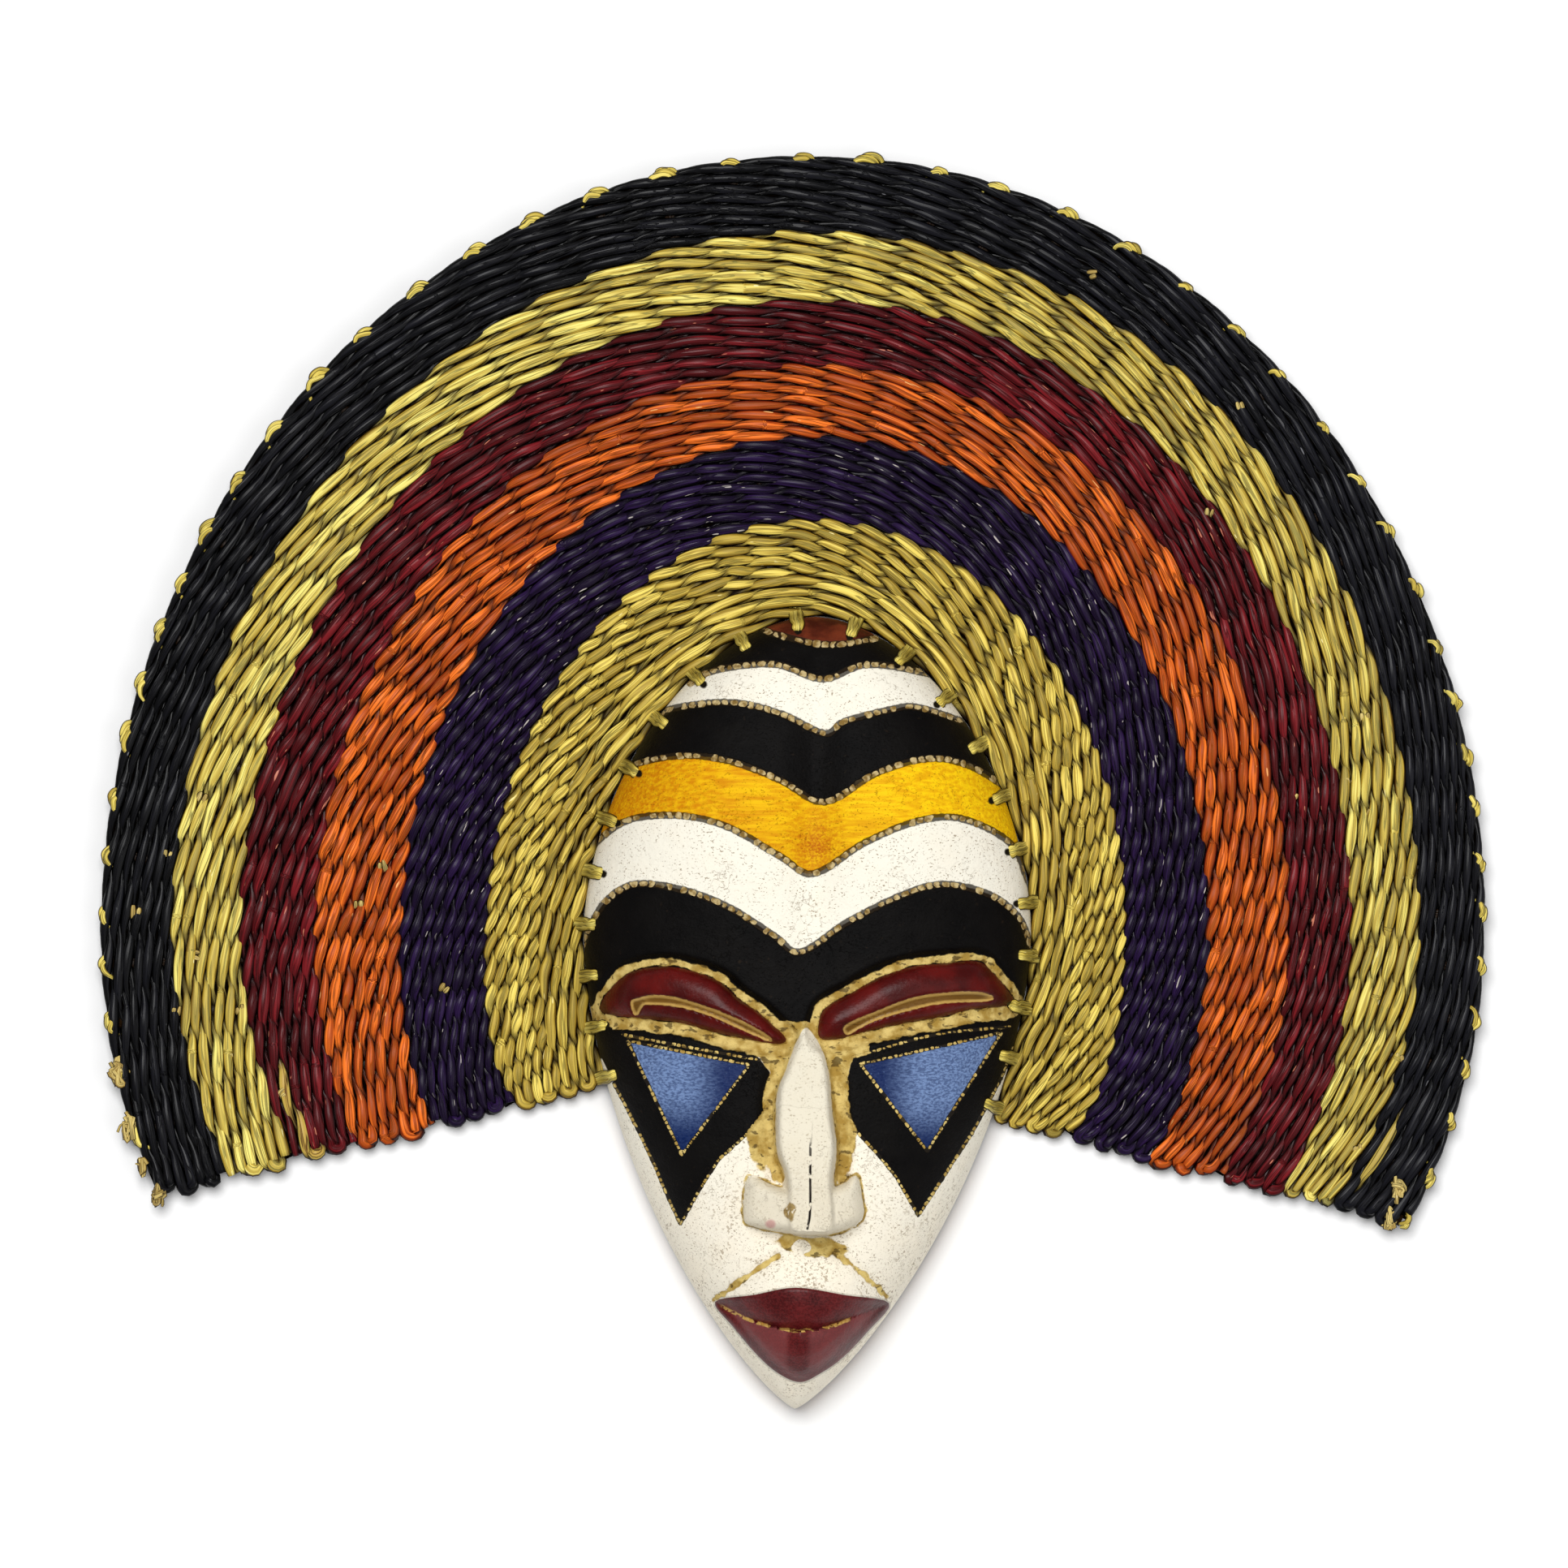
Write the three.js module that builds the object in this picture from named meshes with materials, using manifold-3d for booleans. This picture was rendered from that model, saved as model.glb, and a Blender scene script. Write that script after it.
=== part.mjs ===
// A carved and painted wooden face mask in a broad woven fan of raffia.
// It lies on its back in millimetres: the face looks up along +Z, the top of the head points
// along +Y, and the mask's flat back rim rests on the floor at z = 0.
import * as THREE from "three";
import { mergeVertices } from "three/addons/utils/BufferGeometryUtils.js";
import Module from "manifold-3d";

const wasm = await Module();
wasm.setup();

const GAP = 0.3; // left between pieces that touch
const SMOOTH = 0.1; // facets of the mask that differ by less are joined

// The fan's eye is the point that its bands are measured from. It lies here from the middle of
// the part's footprint, and the mask's centre lies MASK_SHIFT to the right of it.
const EYE_X = 3.6;
const EYE_Y = -46.2;
const MASK_SHIFT = 1.2;
const MASK_LEAN = -1.5; // degrees, the top of the head leans to the right

// The mask's outline and its plain dome, before the features are carved.
const HALF_WIDTH = 68.8;
const CROWN_REACH = 97.5;
const CHIN_REACH = 146.3;
const RIM_HEIGHT = 9;
const FACE_HEIGHT = 43;
const RIM_WIDTH = 11;
const CHIN_WOOD = 7; // more wood left behind the chin than round the rest of the rim
const WALL = 9;

// The carved features are measured from the mask's centre: x across, y up the face.
// The forehead has two lobes with a shallow valley between them, and the mouth a full muzzle.
const LOBES = { x: 28, y: 32, across: 20, along: 34, height: 3 };
const VALLEY = { x: 1.5, across: 7, depth: 2.6, end: -25, full: 10 };
const MUZZLE = { x: 1.5, y: -117, across: 21, along: 19, height: 10 };

// Each eye is an almond between two corners, arched above the line that joins them. Its lid
// bulges in a sunk socket, and a slit curves across the lid.
const EYES = [
  { inner: [-7.4, -33], outer: [-62, -26] },
  { inner: [5, -32.5], outer: [63, -20] },
];
const LID = { arch: 17.2, lean: 1.07, bulge: 5.4 };
const SOCKET = { margin: 2.8, depth: 2.4 };
const SLIT = { from: 0.07, to: 0.83, arch: 6.8, above: 1, radius: 1.5 };

// The nose is a long bridge that widens, narrows above the tip and has short wings there. Each
// row gives its middle, half its width and its height over the face.
const NOSE = [
  { y: -28, x: -0.6, half: 2.2, height: 1.5 },
  { y: -41, x: -0.4, half: 6.8, height: 6.5 },
  { y: -52, x: 0.2, half: 8.6, height: 10.5 },
  { y: -66, x: 0.8, half: 8.9, height: 15 },
  { y: -76, x: 1.4, half: 6.9, height: 18.5 },
  { y: -84, x: 1.6, half: 8.4, height: 21 },
  { y: -91, x: 1.8, half: 7.6, height: 20 },
];
const WINGS = [
  { y: -73.5, x: 0.9, half: 14.5, height: 2 },
  { y: -77, x: 0.9, half: 17.6, height: 8.5 },
  { y: -84, x: 0.9, half: 18.4, height: 11 },
  { y: -91, x: 0.9, half: 17.2, height: 11.5 },
];

// The lips slope in to a curved mouth line, and the lower one comes to a point below.
const LIPS = { x: 1.2, half: 26.8, top: -108.3, line: -121.8, bottom: -137.7, corners: -113.2,
  curve: 1.7, corner: 0.6 };
const PARTING = 3; // how far the upper lip slopes in
const LOWER_LIP = 3.4; // how far the lower lip stands out
const FURROWS = [
  { from: [-9.4, -98.5], to: [-26.3, -112] },
  { from: [11.6, -97.5], to: [26.9, -109.6] },
];
const FURROW_RADIUS = 1.2;

// The fan: six bands of weft rows from the mask outwards. A band's reach is the distance of its
// outer edge from the eye: at the left hem, left, top, right and at the right hem.
const BANDS = [
  { name: "straw_band_inner", rows: 9, reach: [103, 97.5, 127.5, 99, 103.5], colour: 0xb59a45 },
  { name: "purple_band", rows: 8, reach: [128, 124, 153, 124.5, 127.5], colour: 0x2a1c40 },
  { name: "orange_band", rows: 7, reach: [152, 150.5, 175, 149.5, 149], colour: 0xa8441a },
  { name: "burgundy_band", rows: 6, reach: [171, 173.5, 195, 168.5, 167.5], colour: 0x4c1220 },
  { name: "straw_band_outer", rows: 6, reach: [191.5, 194.5, 216, 189.5, 182], colour: 0xc2a74d },
  { name: "black_band", rows: 7, reach: [214, 216, 239, 209, 205.5], colour: 0x16151a },
];
const ROWS = BANDS.reduce((sum, band) => sum + band.rows, 0);
const FAN_TILT = 3; // degrees that the arch of the bands leans to the right
const MASK_CLEARANCE = 1.8; // between the mask's edge and the first row
const LEFT_HEM = { below: 31.7, slope: 13.9 }; // a straight line under the eye, in degrees
const RIGHT_HEM = { below: 42.4, slope: 14.2 };
const HEM_ANGLE = 26; // about how far below the eye the hems lie, in degrees
const SEGMENTS = 20; // along each band

const SHEET_HEIGHT = 4.4; // the sheet's middle over the floor at the mask
const SHEET_LIFT = 3.5; // more at the outer edge
const SHEET_WAVE = 1.2;
const ROW_PITCH = 3.4;
const ROW_CREST = 2.4; // over the sheet's middle
const ROW_VALLEY = 1;
const SHEET_UNDER = 2.3;

// The warp cords that tie the fan's first row into holes drilled round the mask.
const CORDS = 22;
const FIRST_CORD = 2.8; // from the left hem, along the mask's edge
const LAST_CORD = 4.4; // from the right hem
const CORD_CROWDING = 0.012; // the cords stand a little closer at the hems
const CORD_RADIUS = 1.2;
const HOLE_RADIUS = 1.9;
const HOLE_INSET = 4.6; // from the mask's edge, seen from the front
const HOLE_DEPTH = 22;
const HOLE_DROP = 0.3; // down for each millimetre inwards
const KNOT_RADIUS = 2.3;

const { degToRad, lerp, smoothstep } = THREE.MathUtils;
const hill = (distance, spread) => Math.exp(-((distance / spread) ** 2));

function halfWidth(y) {
  if (y >= 0) return HALF_WIDTH * Math.max(0, 1 - (y / CROWN_REACH) ** 1.8) ** (1 / 1.8);
  return HALF_WIDTH * Math.max(0, 1 - (-y / CHIN_REACH) ** 1.7) ** 0.8;
}

// From 1 in the middle of the face down to 0 at its edge, steep near the edge.
function dome(x, y) {
  const width = halfWidth(y);
  const across = width > 0 ? Math.min(1, Math.abs(x) / width) : 1;
  const along = y >= 0 ? (y / CROWN_REACH) ** 3.2 : (-y / CHIN_REACH) ** 4;
  return Math.sqrt(Math.max(0, 1 - across ** 2.6) * Math.max(0, 1 - along));
}

// A round swelling of the face.
function swelling({ x, y, across, along, height }, px, py) {
  return height * hill(px - x, across) * hill(py - y, along);
}

// The height of the face before its eyes, nose and lips are carved.
function surface(x, y) {
  const rise = dome(x, y);
  const shown = smoothstep(y, VALLEY.end, VALLEY.full);
  const valley = VALLEY.depth * hill(x - VALLEY.x, VALLEY.across) * shown;
  const swellings = swelling(LOBES, Math.abs(x), y) + swelling(MUZZLE, x, y) - valley;
  return RIM_HEIGHT + (FACE_HEIGHT - RIM_HEIGHT) * rise + swellings * Math.min(1, 1.6 * rise);
}

const FACE_COLUMNS = 18;
const FACE_ROWS = { upper: 11, lower: 19 };
const HOLLOW_COLUMNS = 10;
const HOLLOW_ROWS = { upper: 6, lower: 9 };

// Columns across a width, closer together towards both edges.
function columnsAt(width, count) {
  return Array.from({ length: count + 1 }, (_, i) => width * Math.sin((i / count - 0.5) * Math.PI));
}

// Rows from the top to the bottom, close together at both ends.
function rowsBetween(top, bottom, { upper, lower }) {
  const rows = [];
  for (let i = 0; i <= upper; i++) rows.push(top * Math.cos((i / upper) * (Math.PI / 2)));
  for (let i = 1; i <= lower; i++) {
    const part = i / lower;
    rows.push(bottom * lerp(part, Math.sin(part * (Math.PI / 2)), 0.35));
  }
  return rows;
}

function geometryFrom(points, faces) {
  const geometry = new THREE.BufferGeometry();
  geometry.setAttribute("position", new THREE.Float32BufferAttribute(points.flat(), 3));
  geometry.setIndex(faces.flat());
  return mergeVertices(geometry, 1e-4);
}

// A closed solid under a height field: rows of columns on top, the same points at base level below.
function raisedSolid(rows, columnsOf, heightAt, base) {
  const points = [];
  const faces = [];
  const grid = rows.map((y) => columnsOf(y).map((x) => {
    points.push([x, y, heightAt(x, y)], [x, y, base]);
    return points.length - 2;
  }));
  const quad = (a, b, c, d, flip) =>
    flip ? faces.push([a, b, d], [b, c, d]) : faces.push([a, b, c], [a, c, d]);
  const columns = grid[0].length - 1;
  for (let j = 0; j < grid.length - 1; j++) {
    for (let i = 0; i < columns; i++) {
      const flip = i >= columns / 2;
      const [a, b, c, d] = [grid[j + 1][i], grid[j + 1][i + 1], grid[j][i + 1], grid[j][i]];
      quad(a, b, c, d, flip);
    }
    const [left, leftNext] = [grid[j][0], grid[j + 1][0]];
    const [right, rightNext] = [grid[j][columns], grid[j + 1][columns]];
    quad(left, left + 1, leftNext + 1, leftNext, false);
    quad(rightNext, rightNext + 1, right + 1, right, false);
    quad(left + 1, right + 1, rightNext + 1, leftNext + 1, false);
  }
  return geometryFrom(points, faces);
}

function toSolid(geometry) {
  const bare = geometry.clone();
  bare.deleteAttribute("normal");
  bare.deleteAttribute("uv");
  const merged = mergeVertices(bare, 1e-4);
  const kept = [];
  const index = merged.index.array;
  for (let i = 0; i < index.length; i += 3) {
    const [a, b, c] = [index[i], index[i + 1], index[i + 2]];
    if (a !== b && b !== c && c !== a) kept.push(a, b, c);
  }
  return new wasm.Manifold(
    new wasm.Mesh({
      numProp: 3,
      vertProperties: new Float32Array(merged.attributes.position.array),
      triVerts: new Uint32Array(kept),
    }),
  );
}

function toGeometry(solid) {
  const mesh = solid.getMesh();
  const geometry = new THREE.BufferGeometry();
  geometry.setAttribute("position", new THREE.BufferAttribute(mesh.vertProperties, 3));
  geometry.setIndex(new THREE.BufferAttribute(mesh.triVerts, 1));
  return geometry;
}

// The hollow follows the face from behind, a rim's width in from the edge.
const HOLLOW_TOP = CROWN_REACH - RIM_WIDTH;
const HOLLOW_BOTTOM = CHIN_REACH - RIM_WIDTH - CHIN_WOOD;

function hollowHalfWidth(y) {
  const stretch = y >= 0 ? CROWN_REACH / HOLLOW_TOP : CHIN_REACH / HOLLOW_BOTTOM;
  return (halfWidth(y * stretch) * (HALF_WIDTH - RIM_WIDTH)) / HALF_WIDTH;
}

function hollowHeight(x, y) {
  const width = hollowHalfWidth(y);
  const across = width > 0 ? Math.min(1, Math.abs(x) / width) : 1;
  const along = y >= 0 ? (y / HOLLOW_TOP) ** 4 : (-y / HOLLOW_BOTTOM) ** 4;
  return (FACE_HEIGHT - WALL) * (Math.max(0, 1 - across ** 3) * Math.max(0, 1 - along)) ** 0.4;
}

// A solid through a run of rings with the same number of points. Each ring starts at its foot
// and turns the way a right-handed screw does that moves along the run.
function loft(rings) {
  const sides = rings[0].length;
  const faces = [];
  const last = (rings.length - 1) * sides;
  for (let k = 0; k < sides; k++) {
    const next = (k + 1) % sides;
    for (let ring = 0; ring < last; ring += sides) {
      faces.push([ring + k, ring + sides + next, ring + next]);
      faces.push([ring + k, ring + sides + k, ring + sides + next]);
    }
    if (k > 0 && next > 0) faces.push([0, k, next], [last, last + next, last + k]);
  }
  return geometryFrom(rings.flat(), faces);
}

// A round bar along a run of points, with a radius at each of them.
function bar(points, radii, sides) {
  const up = new THREE.Vector3(0, 0, 1);
  return loft(points.map((point, i) => {
    const ahead = points[Math.min(i + 1, points.length - 1)];
    const behind = points[Math.max(i - 1, 0)];
    const along = ahead.clone().sub(behind).normalize();
    const sideways = along.clone().cross(up).normalize();
    const upwards = sideways.clone().cross(along);
    return Array.from({ length: sides }, (_, k) => {
      const turn = (k / sides) * Math.PI * 2;
      const out = sideways.clone().multiplyScalar(Math.cos(turn));
      out.addScaledVector(upwards, Math.sin(turn));
      return point.clone().addScaledVector(out, radii[i]).toArray();
    });
  }));
}

const groove = (run, radius) => bar(run, run.map(() => radius), 6);

// A point of an eye: a part of the way from its inner corner, and a height over its lower edge.
function eyePoint({ inner, outer }, part, above) {
  return [lerp(inner[0], outer[0], part), lerp(inner[1], outer[1], part) + above];
}

function archAt(part) {
  const leant = THREE.MathUtils.clamp(part, 0, 1) ** LID.lean;
  return Math.sqrt(4 * leant * (1 - leant));
}

const BELOW_SURFACE = 5; // how deep the feet of the added forms sink into the face
const ABOVE_SURFACE = 12; // how far the cutting forms stand out of it
const EYE_STATIONS = 10;
const LID_STEPS = 5;

// The almond of an eye, grown by a margin, with a height over the surface from edge to edge.
function eyeForm(eye, margin, foot, heightAt) {
  const length = Math.abs(eye.outer[0] - eye.inner[0]);
  const rings = [];
  for (let i = 0; i <= EYE_STATIONS; i++) {
    const part = lerp(-margin / length, 1 + margin / length, lerp(i / EYE_STATIONS, 0.5, 0.03));
    const arch = LID.arch * archAt(part);
    const across = Array.from({ length: LID_STEPS + 1 }, (_, k) => {
      const step = k / LID_STEPS;
      const [x, y] = eyePoint(eye, part, lerp(-margin, arch + margin, step));
      return [x, y, surface(x, y) + heightAt(part, step)];
    });
    const [low, high] = [across[0], across.at(-1)];
    rings.push([[low[0], low[1], low[2] + foot], ...across, [high[0], high[1], high[2] + foot]]);
  }
  return rings;
}

function lidHeight(part, step) {
  const bulge = Math.sqrt(Math.max(0, 1 - (2 * step - 1) ** 2));
  return LID.bulge * bulge * Math.min(1, 1.2 * archAt(part)) - SOCKET.depth;
}

// Rings that run from left to right turn the right way, so the left eye's are turned round.
const leftToRight = (eye, rings) => (eye.outer[0] < 0 ? rings.reverse() : rings);

// The slit rises from near the inner corner and turns down a little at its outer end.
function slitRun(eye) {
  const stations = 8;
  return Array.from({ length: stations + 1 }, (_, i) => {
    const along = i / stations;
    const part = lerp(SLIT.from, SLIT.to, along);
    const above = SLIT.above + SLIT.arch * Math.sin(Math.PI * lerp(0.12, 0.92, along)) ** 0.8;
    const [x, y] = eyePoint(eye, part, above);
    const step = above / (LID.arch * archAt(part));
    return new THREE.Vector3(x, y, surface(x, y) + lidHeight(part, step));
  });
}

// Half of the section of the bridge and of the wings, from the foot to the ridge: a part of the
// half width, and a part of the height.
const NOSE_SECTION = [[1, 0.05], [0.96, 0.6], [0.72, 0.93], [0, 1]];
const WING_SECTION = [[1, 0.05], [0.97, 0.66], [0.78, 0.95], [0, 1]];

function ridgeForm(rows, section) {
  return rows.map(({ y, x, half, height }) => {
    const left = section.map(([out, up]) => [x - out * half, up]);
    const right = section.slice(0, -1).reverse().map(([out, up]) => [x + out * half, up]);
    const over = [...left, ...right].map(([px, up]) => [px, y, surface(px, y) + height * up]);
    const feet = [over.at(0), over.at(-1)].map(([px]) => [px, y, surface(px, y) - BELOW_SURFACE]);
    return [feet[0], ...over, feet[1]];
  });
}

// The lips' lines over a place across them: from -1 at the left corner to 1 at the right one.
function lipLines(place) {
  const out = Math.abs(place);
  return {
    x: LIPS.x + place * LIPS.half,
    top: lerp(LIPS.top, LIPS.corners, out ** 2) + LIPS.corner / 2,
    line: lerp(LIPS.line, LIPS.corners, out ** LIPS.curve),
    bottom: lerp(LIPS.bottom, LIPS.corners, out ** LIPS.curve) - LIPS.corner / 2,
  };
}

// Across the lips from the bottom: a step between two of their lines, and a height.
const LIP_STATIONS = 10;
const LIP_SECTION = [
  ["bottom", "line", 0, -0.3],
  ["bottom", "line", 0.3, 0.75 * LOWER_LIP],
  ["bottom", "line", 0.75, LOWER_LIP],
  ["bottom", "line", 1, -PARTING],
  ["line", "top", 0.5, -0.45 * PARTING],
  ["line", "top", 1, 0.3],
];
const LIP_POCKET = [["bottom", "line", 0, ABOVE_SURFACE], ["line", "top", 1, ABOVE_SURFACE]];

function lipForm(foot, section) {
  return Array.from({ length: LIP_STATIONS + 1 }, (_, i) => {
    const place = 0.98 * Math.sin((i / LIP_STATIONS - 0.5) * Math.PI);
    const lines = lipLines(place);
    const fade = Math.sqrt(1 - place ** 2);
    const at = (y, height) => [lines.x, y, surface(lines.x, y) + height];
    const over = section.map(([from, to, step, height]) =>
      at(lerp(lines[from], lines[to], step), height * fade));
    return [at(lines.bottom, foot), ...over, at(lines.top, foot)];
  });
}

// A furrow beside the mouth, bowed up by a millimetre.
function furrowRun({ from, to }) {
  const stations = 5;
  return Array.from({ length: stations + 1 }, (_, i) => {
    const part = i / stations;
    const x = lerp(from[0], to[0], part);
    const y = lerp(from[1], to[1], part) + Math.sin(part * Math.PI);
    return new THREE.Vector3(x, y, surface(x, y) + FURROW_RADIUS / 4);
  });
}

// Where the mask's edge lies from the eye, in a direction.
const maskToFan = new THREE.Matrix4()
  .makeRotationZ(degToRad(MASK_LEAN))
  .setPosition(MASK_SHIFT, 0, 0);
const fanToMask = maskToFan.clone().invert();

function maskReach(angle) {
  let inside = 0;
  let outside = CHIN_REACH + 10;
  for (let i = 0; i < 24; i++) {
    const middle = (inside + outside) / 2;
    const point = new THREE.Vector3(middle * Math.cos(angle), middle * Math.sin(angle), 0);
    point.applyMatrix4(fanToMask);
    const between = point.y < CROWN_REACH && point.y > -CHIN_REACH;
    if (between && Math.abs(point.x) < halfWidth(point.y)) inside = middle;
    else outside = middle;
  }
  return outside;
}

// The distance of a boundary between bands from the eye: half an ellipse, tilted, that runs on
// below the eye towards its value at the hem.
function boundaryReach(index, angle) {
  if (index === 0) return maskReach(angle) + MASK_CLEARANCE;
  const [leftHem, left, top, right, rightHem] = BANDS[index - 1].reach;
  const turned = angle + degToRad(FAN_TILT);
  const side = Math.cos(turned) < 0 ? left : right;
  const below = Math.max(turned - Math.PI, -turned) / degToRad(HEM_ANGLE);
  if (below <= 0) return 1 / Math.hypot(Math.cos(turned) / side, Math.sin(turned) / top);
  const hem = side === left ? leftHem : rightHem;
  return lerp(side, hem, Math.min(1, below) ** 1.5);
}

function rowReach(row, angle) {
  let first = 0;
  let index = 0;
  while (index < BANDS.length - 1 && row > first + BANDS[index].rows) first += BANDS[index++].rows;
  const part = (row - first) / BANDS[index].rows;
  return lerp(boundaryReach(index, angle), boundaryReach(index + 1, angle), part);
}

// The angles at which a row meets the hems.
function rowEnds(row) {
  let left = degToRad(210);
  let right = degToRad(-30);
  for (let i = 0; i < 12; i++) {
    left = degToRad(270 + LEFT_HEM.slope) - Math.acos(LEFT_HEM.below / rowReach(row, left));
    right = degToRad(-90 - RIGHT_HEM.slope) + Math.acos(RIGHT_HEM.below / rowReach(row, right));
  }
  return [left, right];
}

function sheetHeight(row, angle) {
  const out = row / ROWS;
  return SHEET_HEIGHT + SHEET_LIFT * out ** 2 + SHEET_WAVE * out * Math.sin(3 * angle + 0.6);
}

// A point of the fan: the row counted from the mask, part of the way along it, and a height over
// the sheet's middle.
function fanPoint(row, part, height, inwards = 0) {
  const [left, right] = rowEnds(row);
  const angle = lerp(left, right, part);
  const reach = rowReach(row, angle) - inwards;
  const z = sheetHeight(row, angle) + height;
  return new THREE.Vector3(reach * Math.cos(angle), reach * Math.sin(angle), z);
}

// One band: a crest for each weft row on top, flat underneath, capped at both hems.
function bandGeometry(firstRow, rows) {
  const section = [[firstRow, ROW_VALLEY, -GAP / 2]];
  for (let i = 0; i < rows; i++) {
    section.push([firstRow + i + 0.5, ROW_CREST, 0]);
    section.push([firstRow + i + 1, ROW_VALLEY, i === rows - 1 ? GAP / 2 : 0]);
  }
  section.push([firstRow + rows, -SHEET_UNDER, GAP / 2], [firstRow, -SHEET_UNDER, -GAP / 2]);
  const points = [];
  const faces = [];
  const count = section.length;
  for (let j = 0; j <= SEGMENTS; j++)
    for (const [row, height, inwards] of section)
      points.push(fanPoint(row, j / SEGMENTS, height, inwards).toArray());
  for (let j = 0; j < SEGMENTS; j++)
    for (let i = 0; i < count; i++) {
      const [a, b] = [j * count + i, j * count + ((i + 1) % count)];
      faces.push([a, b + count, b], [a, a + count, b + count]);
    }
  const outline = section.map(([row, height]) => new THREE.Vector2(row, height));
  const last = SEGMENTS * count;
  for (const [a, b, c] of THREE.ShapeUtils.triangulateShape(outline, []))
    faces.push([a, c, b], [last + a, last + b, last + c]);
  return geometryFrom(points, faces);
}

// The cords' places on the mask's edge between the hems, each with the way in from there.
function cordPlaces() {
  const [left, right] = rowEnds(0);
  const steps = 400;
  const edge = Array.from({ length: steps + 1 }, (_, i) => {
    const angle = lerp(left, right, i / steps);
    const reach = maskReach(angle);
    return new THREE.Vector3(reach * Math.cos(angle), reach * Math.sin(angle), 0);
  });
  const lengths = [0];
  for (let i = 1; i <= steps; i++) lengths.push(lengths[i - 1] + edge[i].distanceTo(edge[i - 1]));
  const span = lengths[steps] - FIRST_CORD - LAST_CORD;
  return Array.from({ length: CORDS }, (_, i) => {
    const part = i / (CORDS - 1);
    const wanted = FIRST_CORD + span * (part - CORD_CROWDING * Math.sin(2 * Math.PI * part));
    const at = lengths.findIndex((length) => length >= wanted);
    const along = edge[at + 3].clone().sub(edge[at - 3]).normalize();
    return { edge: edge[at], inwards: new THREE.Vector3(along.y, -along.x, 0) };
  });
}

// From between the first two rows, over the mask's shoulder and down a sloping hole to the hollow.
function cordRoute({ edge, inwards }) {
  const at = (inset, height) => edge.clone().addScaledVector(inwards, inset).setZ(height);
  const mouth = at(HOLE_INSET, 0).applyMatrix4(fanToMask);
  const hole = surface(mouth.x, mouth.y) - 0.5;
  const inHole = (inset) => at(inset, hole - HOLE_DROP * (inset - HOLE_INSET));
  const overRow = SHEET_HEIGHT + ROW_CREST + CORD_RADIUS + GAP;
  return {
    drill: [inHole(HOLE_INSET - 6), inHole(HOLE_INSET + HOLE_DEPTH)],
    cord: [
      at(-MASK_CLEARANCE - 0.9 * ROW_PITCH, overRow - 0.2),
      at(-MASK_CLEARANCE - 0.45 * ROW_PITCH, overRow + 0.2),
      at(-CORD_RADIUS - 0.5, 0.68 * hole),
      at(0.4, 0.92 * hole),
      inHole(HOLE_INSET - 1.2),
      inHole(HOLE_INSET + HOLE_DEPTH - 9),
      inHole(HOLE_INSET + HOLE_DEPTH - 6.5),
      inHole(HOLE_INSET + HOLE_DEPTH - 4),
    ],
  };
}

const wood = new THREE.MeshStandardMaterial({ color: 0xe6dcc4, roughness: 0.5 });
const naturalRaffia = new THREE.MeshStandardMaterial({ color: 0xc9b158, roughness: 0.7 });

const part = new THREE.Group();
part.position.set(EYE_X, EYE_Y, 0);

const mask = new THREE.Group();
mask.position.set(MASK_SHIFT, 0, 0);
mask.rotation.z = degToRad(MASK_LEAN);
part.add(mask);

const routes = cordPlaces().map(cordRoute);

let maskSolid = toSolid(raisedSolid(
  rowsBetween(CROWN_REACH, -CHIN_REACH, FACE_ROWS),
  (y) => columnsAt(halfWidth(y), FACE_COLUMNS),
  surface,
  0,
));
const hollow = toSolid(raisedSolid(
  rowsBetween(HOLLOW_TOP, -HOLLOW_BOTTOM, HOLLOW_ROWS),
  (y) => columnsAt(hollowHalfWidth(y), HOLLOW_COLUMNS),
  hollowHeight,
  -1,
));
for (const eye of EYES) {
  const socket = eyeForm(eye, SOCKET.margin, ABOVE_SURFACE, () => -SOCKET.depth);
  const lid = eyeForm(eye, 0, -BELOW_SURFACE, lidHeight);
  maskSolid = maskSolid
    .subtract(toSolid(loft(leftToRight(eye, socket.map((ring) => ring.reverse())))))
    .add(toSolid(loft(leftToRight(eye, lid))))
    .subtract(toSolid(groove(slitRun(eye), SLIT.radius)));
}
maskSolid = maskSolid.add(toSolid(loft(ridgeForm(NOSE, NOSE_SECTION))));
maskSolid = maskSolid.add(toSolid(loft(ridgeForm(WINGS, WING_SECTION))));
maskSolid = maskSolid.subtract(toSolid(loft(lipForm(-BELOW_SURFACE, LIP_POCKET))));
maskSolid = maskSolid.add(toSolid(loft(lipForm(-BELOW_SURFACE - 0.5, LIP_SECTION))));
for (const furrow of FURROWS)
  maskSolid = maskSolid.subtract(toSolid(groove(furrowRun(furrow), FURROW_RADIUS)));
maskSolid = maskSolid.subtract(hollow);
for (const { drill } of routes) {
  const hole = bar(drill, [HOLE_RADIUS, HOLE_RADIUS], 5).applyMatrix4(fanToMask);
  maskSolid = maskSolid.subtract(toSolid(hole));
}
const carvedMask = new THREE.Mesh(toGeometry(maskSolid.simplify(SMOOTH)), wood);
carvedMask.name = "carved_mask";
mask.add(carvedMask);

routes.forEach(({ cord: route }, i) => {
  const radii = route.map(() => CORD_RADIUS);
  radii.splice(-3, 3, CORD_RADIUS, KNOT_RADIUS, CORD_RADIUS / 2);
  const cord = new THREE.Mesh(bar(route, radii, 5), naturalRaffia);
  cord.name = `warp_cord_${String(i + 1).padStart(2, "0")}`;
  part.add(cord);
});

let firstRow = 0;
for (const { name, rows, colour } of BANDS) {
  const dyedRaffia = new THREE.MeshStandardMaterial({ color: colour, roughness: 0.75 });
  const band = new THREE.Mesh(bandGeometry(firstRow, rows), dyedRaffia);
  band.name = name;
  part.add(band);
  firstRow += rows;
}

export default part;
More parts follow.
